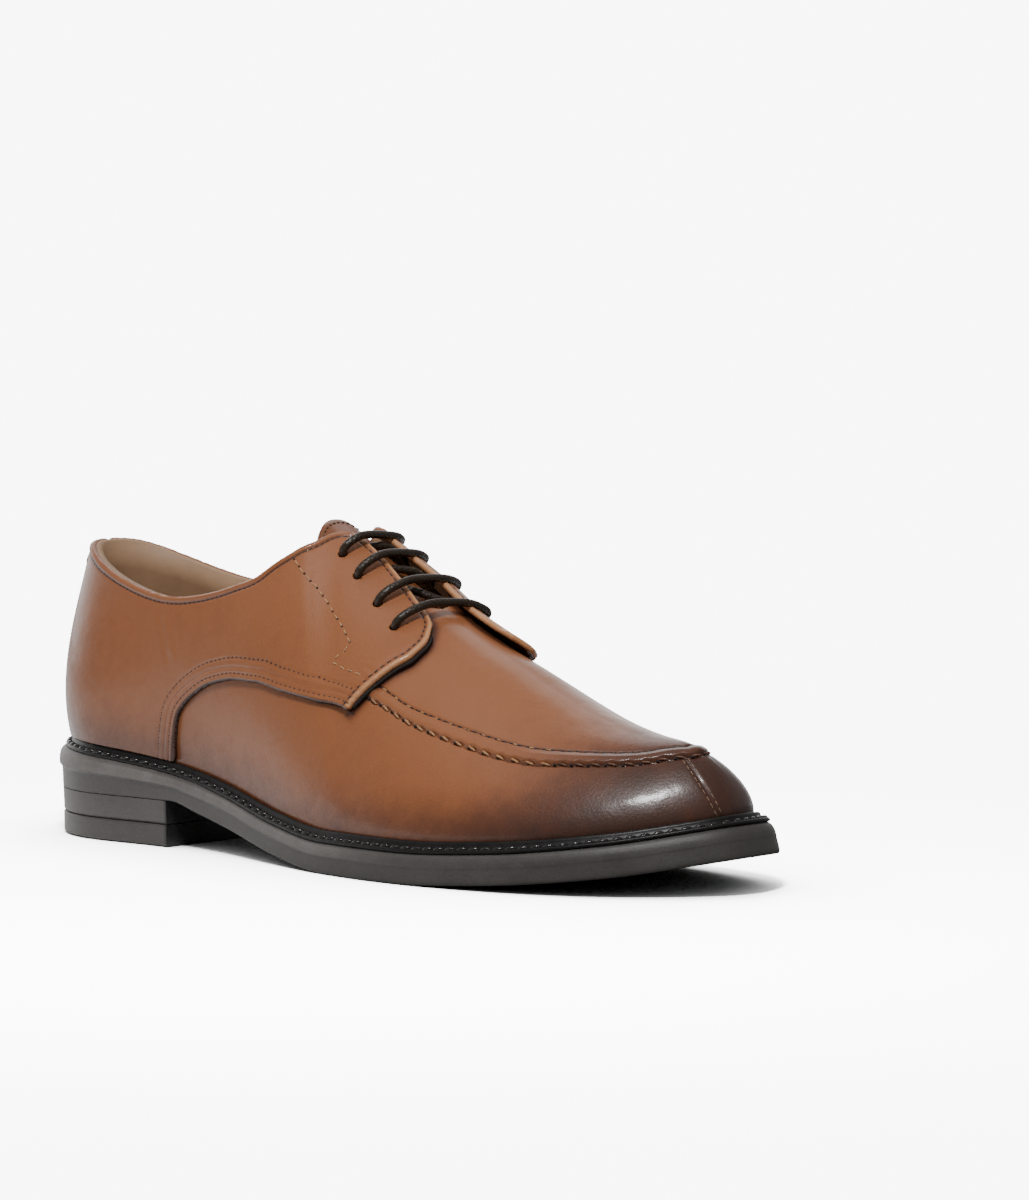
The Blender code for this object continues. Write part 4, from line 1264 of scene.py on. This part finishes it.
def make_heel_layer(name, node, levels, finish, tone):
    """One layer of the heel, straight across its breast, which lies in the dark: its breast face gets painted
    shade.
    """
    lateral = np.linspace(0, float(angle_of(HEEL_BREAST)), HEEL_POINTS)
    angle = np.concatenate([lateral, -lateral[:0:-1]])
    rings = []
    for inset, level in levels:
        ring = ring_at(angle, np.full(len(angle), inset), lambda x, z=level: np.full_like(x, z))
        ring[:, 0] = np.minimum(ring[:, 0], HEEL_BREAST)
        ring[[HEEL_POINTS - 1, HEEL_POINTS], 0] = HEEL_BREAST
        rings.append(ring)
    points = np.concatenate(rings)
    # Painted shade on the breast face.
    shade = np.where(points[:, 0] > HEEL_BREAST - BREAST_SHADE_DEPTH, BREAST_SHADE_TONE, tone)
    faces = slab_faces(len(angle), len(rings))
    piece = add_piece(name, points, faces, finish, "rubber", [node], {"tone": shade})
    soften = piece.modifiers.new("soften", "BEVEL")
    soften.width = HEEL_BEVEL * METRE
    soften.segments = 3
    soften.limit_method = "ANGLE"
    soften.angle_limit = math.radians(HEEL_BEVEL_ANGLE)


WELT_LOOK = (
    # share of the reach, height on the sole: the welt with its lip, stitch channel and flat edge
    (0.02, 0.1), (0.82, 0.1), (0.86, 0.5), (0.85, 1.1), (0.79, 1.5),
    (0.70, 1.5), (0.60, 1.25), (0.47, 1.6), (0.38, 2.6), (0.34, 3.4),
    (0.26, 3.95), (0.14, 4.0), (0.04, 3.6),
)
# Where the welt's stitches lie on it, and the outer and inner places that give their tilt
WELT_STITCH = (0.58, 1.45)
WELT_STITCH_OUTER = (0.72, 1.5)
WELT_STITCH_INNER = (0.42, 2.2)
HALF_WELT = 360


def welt_point(angle, share, rise):
    """Points round the welt at a share of its reach and a height on the sole."""
    place, outward = feather(angle)
    reach = welt_reach(sole_edge(angle)[0][:, 0]) * share
    spot = place + outward * reach[:, None]
    return np.column_stack([spot, sole_top(spot[:, 0]) + rise])


def make_welt(finish):
    angle = np.arange(2 * HALF_WELT) * np.pi / HALF_WELT
    rings = [welt_point(angle, share, rise) for share, rise in rounded(WELT_LOOK)]
    grid = np.stack(rings + rings[:1], 1)
    count, deep = grid.shape[:2]
    add_piece("welt_strip", grid.reshape(-1, 3), grid_faces(count, deep, True), finish, "welt", ["welt"])
    fine = np.linspace(0, 2 * np.pi, 2400)
    place = welt_point(fine, *WELT_STITCH)
    across = welt_point(fine, *WELT_STITCH_INNER) - welt_point(fine, *WELT_STITCH_OUTER)
    up = np.cross(np.gradient(place, axis=0), across)
    up = unit(up * np.sign(up[:, 2:3]))
    sew("welt", place, up)


INSOLE_ROUND = (1.0, 0.3)
INSOLE_POINTS = 240


def make_insole(finish):
    angle = np.arange(INSOLE_POINTS) * 2 * np.pi / INSOLE_POINTS
    place, outward = feather(angle)
    place = place - outward * (WALL + PIECE_GAP)
    floor = np.column_stack([place, sole_top(place[:, 0]) + PIECE_GAP])
    top = floor + UP * INSOLE_THICK
    place = place - outward * INSOLE_ROUND[0]
    inner = np.column_stack([place, sole_top(place[:, 0]) + PIECE_GAP + INSOLE_THICK + INSOLE_ROUND[1]])
    points = np.concatenate([inner, top, floor])
    add_piece("insole_cover", points, slab_faces(INSOLE_POINTS, 3), finish, "lining", ["insole"])


# Finishes
class Look:
    """A node tree, with short ways to add nodes to it."""

    def __init__(self, tree, space="Object"):
        self.tree = tree
        self.place = tree.nodes.new("ShaderNodeTexCoord").outputs[space]

    def join(self, value, socket):
        """Give a socket a number, a colour or another node's output."""
        if isinstance(value, bpy.types.NodeSocket):
            self.tree.links.new(value, socket)
        else:
            socket.default_value = (*value, 1.0) if socket.type == "RGBA" else value

    def node(self, kind, settings=None, **inputs):
        """A new node. An input's name has _ for a blank, or is i and its number."""
        made = self.tree.nodes.new("ShaderNode" + kind)
        for name, value in (settings or {}).items():
            setattr(made, name, value)
        for name, value in inputs.items():
            numbered = name[0] == "i" and name[1:].isdigit()
            self.join(value, made.inputs[int(name[1:]) if numbered else name.replace("_", " ")])
        return made

    def calc(self, operation, a, b=0.0, c=0.0):
        return self.node("Math", {"operation": operation}, i0=a, i1=b, i2=c).outputs[0]

    def scaled(self, value, factor, more):
        return self.calc("MULTIPLY_ADD", value, factor, more)

    def eased(self, value, ends, to=(0.0, 1.0), kind="SMOOTHSTEP"):
        """A value brought from between two ends to between two others."""
        ranges = {"From_Min": ends[0], "From_Max": ends[1], "To_Min": to[0], "To_Max": to[1]}
        return self.node("MapRange", {"interpolation_type": kind}, Value=value, **ranges).outputs[0]

    def mark(self, name):
        return self.node("Attribute", {"attribute_name": name}).outputs["Fac"]

    def noise(self, scale, detail=3.0, rough=0.55):
        inputs = {"Vector": self.place, "Scale": scale, "Detail": detail, "Roughness": rough}
        return self.node("TexNoise", **inputs).outputs[0]

    def ramp(self, factor, *stops):
        """A colour ramp from (place, colour) stops."""
        made = self.node("ValToRGB", i0=factor)
        band = made.color_ramp
        while len(band.elements) < len(stops):
            band.elements.new(0.5)
        for element, (place, colour) in zip(band.elements, stops):
            element.position = place
            element.color = (*colour, 1.0)
        return made.outputs[0]

    def mix(self, factor, a, b, mode="MIX"):
        settings = {"data_type": "RGBA", "blend_type": mode}
        return self.node("Mix", settings, i0=factor, i6=a, i7=b).outputs[2]

    def bump(self, height, distance, strength, **more):
        return self.node("Bump", Height=height, Distance=distance, Strength=strength, **more).outputs[0]


class Finish(Look):
    """A material, with the fixed values of its shader."""

    def __init__(self, name, **values):
        self.material = bpy.data.materials.new(name)
        self.material.use_nodes = True
        super().__init__(self.material.node_tree)
        self.wear(**values)

    def wear(self, **values):
        """Set inputs of the shader, and give the material."""
        shader = self.tree.nodes["Principled BSDF"]
        for name, value in values.items():
            self.join(value, shader.inputs[name.replace("_", " ")])
        return self.material


BROWN = (0.205, 0.068, 0.023)
BROWN_LIGHT = (0.245, 0.084, 0.029)
BROWN_DEEP = (0.100, 0.032, 0.013)
BURNT = (0.040, 0.014, 0.008)
# Tan of the facings' folded edges, partly their own colour and partly a painted highlight
EDGE_TAN_AND_HIGHLIGHT = (0.440, 0.205, 0.092)
TONGUE_SHADE = 0.8
LIFT_TONE = 1.25
TOP_PIECE_TONE = 1.02


def leather(name, shade=1.0):
    """Burnished calf: fine grain, cloudy colour, a dark polish and painted shade where its burnish mark says,
    and a tan fold with a painted highlight where its edge mark says.
    """
    look = Finish(name, Specular_IOR_Level=0.32, Coat_Weight=0.40, Coat_Roughness=0.16, Coat_IOR=1.45)
    burnish_and_shade = look.mark("burnish_and_shade")
    mottle = look.noise(160.0, 4.0, 0.6)
    cloudy = look.scaled(look.noise(26.0, 4.0, 0.6), 0.5, -0.25)
    dark = look.calc("ADD", look.calc("ADD", burnish_and_shade, cloudy), look.scaled(mottle, 0.32, -0.16))
    stops = ((0.0, BROWN_LIGHT), (0.25, BROWN), (0.62, BROWN_DEEP), (1.0, BURNT))
    colour = look.ramp(dark, *[(at, tuple(c * shade for c in tint)) for at, tint in stops])
    cell = look.node("TexVoronoi", {"feature": "SMOOTH_F1"}, Vector=look.place, Scale=950.0, Smoothness=0.6)
    fine = look.calc("MULTIPLY", look.noise(1900.0, 3.0, 0.6), 0.6)
    grain = look.scaled(cell.outputs["Distance"], 0.7, fine)
    soft = look.bump(look.noise(75.0, 2.0), 0.0012, 0.22)
    return look.wear(
        Base_Color=look.mix(look.mark("edge"), colour, EDGE_TAN_AND_HIGHLIGHT),
        Roughness=look.scaled(mottle, 0.16, look.scaled(burnish_and_shade, -0.08, 0.42)),
        Normal=look.bump(grain, 0.00022, 0.30, Normal=soft),
        Coat_Normal=look.bump(grain, 0.00022, 0.10, Normal=soft),
    )


def rubber(name):
    """Dark warm-grey sole rubber, scuffed dull, paler or darker where its tone says, which holds painted
    light and painted shade.
    """
    look = Finish(name, Specular_IOR_Level=0.45)
    cloud = look.noise(70.0, 5.0, 0.65)
    speck = look.noise(1400.0, 2.0, 0.6)
    both = look.scaled(speck, 0.35, look.calc("MULTIPLY", cloud, 0.7))
    colour = look.ramp(both, (0.25, (0.036, 0.032, 0.030)), (0.75, (0.072, 0.066, 0.062)))
    return look.wear(
        Base_Color=look.mix(1.0, colour, look.mark("tone"), "MULTIPLY"),
        Roughness=look.scaled(cloud, 0.25, 0.38),
        Normal=look.bump(speck, 0.0002, 0.35, Normal=look.bump(cloud, 0.0006, 0.25)),
    )


def plain(name, colour, rough, scale, depth, strength, spread=0.35, **values):
    """A finish in one tone with a little variation and a fine bump."""
    look = Finish(name, **values)
    cloud = look.noise(scale, 4.0, 0.6)
    low, high = (tuple(c * level for c in colour) for level in (1 - spread, 1 + spread))
    return look.wear(
        Base_Color=look.ramp(cloud, (0.3, low), (0.7, high)),
        Roughness=look.scaled(cloud, 0.2, rough - 0.1),
        Normal=look.bump(cloud, depth, strength),
    )


# The braid's strands round the cord, in radians a turn, and along it, in radians a metre
BRAID_TURN = 8 * math.pi
BRAID_RISE = 2880.0


def waxed_cord(name):
    """Round waxed lace: the slanting ridges of its braid."""
    look = Finish(name, Specular_IOR_Level=0.35, Coat_Weight=0.06, Coat_Roughness=0.35)
    strands = []
    for rise in (BRAID_RISE, -BRAID_RISE):
        along = look.calc("MULTIPLY", look.mark("along"), rise)
        strands.append(look.calc("SINE", look.scaled(look.mark("turn"), BRAID_TURN, along)))
    cloud = look.noise(500.0)
    return look.wear(
        Base_Color=look.ramp(cloud, (0.3, (0.014, 0.008, 0.004)), (0.75, (0.026, 0.015, 0.008))),
        Roughness=look.scaled(cloud, 0.25, 0.30),
        Normal=look.bump(look.calc("MAXIMUM", *strands), 0.00014, 0.40),
    )


THREADS = {
    # thread: finish, colour, roughness, scale, depth and strength of its bump, slot
    "tan": ("thread_tan", (0.360, 0.180, 0.080), 0.55, 900.0, 0.0001, 0.4, "leather"),
    "apron": ("thread_apron", (0.300, 0.150, 0.065), 0.45, 400.0, 0.0001, 0.4, "leather"),
    "toe": ("thread_toe", (0.190, 0.115, 0.075), 0.55, 900.0, 0.0001, 0.4, "leather"),
    "brown": ("thread_brown", (0.090, 0.034, 0.016), 0.55, 900.0, 0.0001, 0.4, "leather_dark"),
    "dark": ("thread_dark", (0.020, 0.010, 0.007), 0.55, 900.0, 0.0001, 0.4, "lace"),
    "black": ("thread_black", (0.012, 0.011, 0.011), 0.26, 900.0, 0.0002, 0.5, "welt"),
    # The hole thread makes the stitch holes and also the painted shadow strips under the quarters' edges.
    "hole": ("stitch_hole", (0.008, 0.004, 0.003), 0.80, 900.0, 0.0001, 0.2, "leather_dark"),
}


def build_shoe():
    calf = leather("burnished_calf")
    sole = rubber("sole_rubber")
    lining = plain("lining_leather", (0.310, 0.185, 0.105), 0.60, 90.0, 0.0003, 0.25, spread=0.10)
    welt = plain("welt_rubber", (0.006, 0.005, 0.005), 0.42, 300.0, 0.0003, 0.35, Specular_IOR_Level=0.30)
    make_upper(calf, lining)
    quarters = [make_quarter(side, calf) for side in ("lateral", "medial")]
    make_tongue(leather("tongue_calf", TONGUE_SHADE))
    make_lace(waxed_cord("waxed_lace"))
    make_outsole(sole)
    make_heel_layer("heel_lift_rubber", "heel_lift", LIFT_LEVELS, sole, LIFT_TONE)
    make_heel_layer("heel_top_piece_rubber", "heel_top_piece", TOP_PIECE_LEVELS, sole, TOP_PIECE_TONE)
    make_welt(welt)
    make_insole(lining)
    for quarter in quarters:
        sew_quarter(quarter)
    sew_apron()
    sew_toe()
    sew_back()
    make_threads({thread: (plain(*row[:-1]), row[-1]) for thread, row in THREADS.items()})


# Studio
CAMERA_TURN = 40.3
CAMERA_RISE = 4.6
CAMERA_DISTANCE = 2000.0
CAMERA_TARGET = (0.0, 0.0, 50.0)
CAMERA_MOVE = (-39.5, -39.5)
FOCAL_PIXELS = 5770.0
PICTURE_HEIGHT = 1200.0
SENSOR = 36.0


def aim(turn, rise):
    """Right, up and back directions of a camera or light at a turn and rise."""
    turn = math.radians(turn)
    rise = math.radians(rise)
    right = np.array([math.cos(turn), math.sin(turn), 0.0])
    back = np.array([math.sin(turn) * math.cos(rise), -math.cos(turn) * math.cos(rise), math.sin(rise)])
    return right, np.cross(back, right), back


def place_looking(thing, spot, right, up, back):
    turn = Matrix(np.column_stack([right, up, back]).tolist()).to_4x4()
    thing.matrix_world = Matrix.Translation(to_row(spot).tolist()) @ turn


def add_camera():
    right, up, back = aim(CAMERA_TURN, CAMERA_RISE)
    spot = np.array(CAMERA_TARGET) + back * CAMERA_DISTANCE - right * CAMERA_MOVE[0] - up * CAMERA_MOVE[1]
    lens = bpy.data.cameras.new("camera")
    lens.sensor_width = SENSOR
    lens.lens = FOCAL_PIXELS * SENSOR / PICTURE_HEIGHT
    lens.clip_end = 20.0
    camera = add_object("camera", lens)
    place_looking(camera, spot, right, up, back)
    bpy.context.scene.camera = camera


LIGHTS = (
    # name, turn and rise round the shoe, distance, width and height in mm, roll, brightness, mirrored
    ("key", 34.0, 53.0, 1200.0, 215.0, 110.0, 35.0, 170.0, True),
    ("back", 214.0, 46.0, 1500.0, 900.0, 620.0, 0.0, 1.35, True),
    ("fill", -30.0, 76.0, 1700.0, 1500.0, 1200.0, 0.0, 2.0, False),
)
LIGHT_TARGET = (20.0, 0.0, 50.0)
WORLD_LIGHT = 0.30
WALL_LIGHT = 2.6
WALL_TURN = -115.0
WALL_EDGE = (0.60, 0.97)
BACKDROP_LIGHT = 8.6
FLOOR_BOUNCE = 0.55


def add_lights():
    for name, turn, rise, distance, width, height, roll, brightness, mirrored in LIGHTS:
        right, up, back = aim(turn, rise)
        right, up = turned(right, up, roll)
        glow = bpy.data.lights.new(name, "AREA")
        glow.shape = "RECTANGLE"
        glow.size = width * METRE
        glow.size_y = height * METRE
        glow.energy = brightness * math.pi * glow.size * glow.size_y
        lamp = add_object(name, glow)
        lamp.visible_glossy = mirrored
        place_looking(lamp, np.array(LIGHT_TARGET) + back * distance, right, up, back)
    world = bpy.data.worlds.new("studio")
    bpy.context.scene.world = world
    world.use_nodes = True
    look = Look(world.node_tree, "Generated")
    ray = look.node("LightPath").outputs
    behind = tuple(aim(WALL_TURN, 0.0)[2])
    facing = look.node("VectorMath", {"operation": "DOT_PRODUCT"}, i0=look.place, i1=behind).outputs["Value"]
    wall = look.eased(facing, WALL_EDGE, (0.0, WALL_LIGHT - WORLD_LIGHT))
    unseen = look.scaled(ray["Is Glossy Ray"], wall, WORLD_LIGHT)
    seen = look.calc("SUBTRACT", BACKDROP_LIGHT, unseen)
    backdrop = look.tree.nodes["Background"]
    look.join((1.0, 1.0, 1.0), backdrop.inputs["Color"])
    look.join(look.scaled(ray["Is Camera Ray"], seen, unseen), backdrop.inputs["Strength"])


# The floor, its lengths in metres, with its fade into the backdrop and its painted contact shadow close under
# the shoe
FLOOR_REACH = 9.0
FLOOR_DROP = 0.0003
FLOOR_SEEN = 7.6
FLOOR_FADE = (0.22, 0.60)
CONTACT_SHADOW_REACH = 0.055
CONTACT_SHADOW_DARK = 0.78
CONTACT_SHADOW_SAMPLES = 12
# What the shoe's gloss mirrors of the floor: pale under the heel, dark under the toe
MIRRORED_ENDS = (-0.14, 0.10)
MIRRORED_PAPER = (1.5, 0.12)


def add_floor():
    """White paper, overexposed to the eye like the backdrop but lighting the shoe as plain paper, with a
    painted contact shadow close under the shoe.
    """
    mesh = bpy.data.meshes.new("floor")
    signs = ((-1, -1), (1, -1), (1, 1), (-1, 1))
    mesh.from_pydata([(x * FLOOR_REACH, y * FLOOR_REACH, -FLOOR_DROP) for x, y in signs], [], [(0, 1, 2, 3)])
    made = bpy.data.materials.new("floor_paper")
    made.use_nodes = True
    look = Look(made.node_tree)
    look.tree.nodes.remove(look.tree.nodes["Principled BSDF"])
    ray = look.node("LightPath").outputs
    along = look.node("SeparateXYZ", i0=look.place).outputs["X"]
    mirrored = look.eased(along, MIRRORED_ENDS, MIRRORED_PAPER, "LINEAR")
    bounce = look.node("Mix", i0=ray["Is Glossy Ray"], i2=FLOOR_BOUNCE, i3=mirrored).outputs[0]
    # Painted contact shadow: ambient occlusion darkens the floor the camera sees close under the shoe.
    contact_shadow = look.node("AmbientOcclusion", {"samples": CONTACT_SHADOW_SAMPLES}, Distance=CONTACT_SHADOW_REACH)
    white = look.calc("MULTIPLY", look.calc("POWER", contact_shadow.outputs["AO"], CONTACT_SHADOW_DARK), FLOOR_SEEN)
    away = look.node("VectorMath", {"operation": "LENGTH"}, i0=look.place).outputs["Value"]
    paper = look.node("BsdfDiffuse", Color=bounce).outputs[0]
    seen = look.node("BsdfDiffuse", Color=white).outputs[0]
    glow = look.node("Emission", Color=(1.0, 1.0, 1.0), Strength=BACKDROP_LIGHT).outputs[0]
    shown = look.node("MixShader", i0=look.eased(away, FLOOR_FADE), i1=seen, i2=glow).outputs[0]
    pick = look.node("MixShader", i0=ray["Is Camera Ray"], i1=paper, i2=shown).outputs[0]
    look.join(pick, look.tree.nodes["Material Output"].inputs["Surface"])
    mesh.materials.append(made)
    floor = add_object("floor", mesh)


build_shoe()
add_floor()
add_lights()
add_camera()
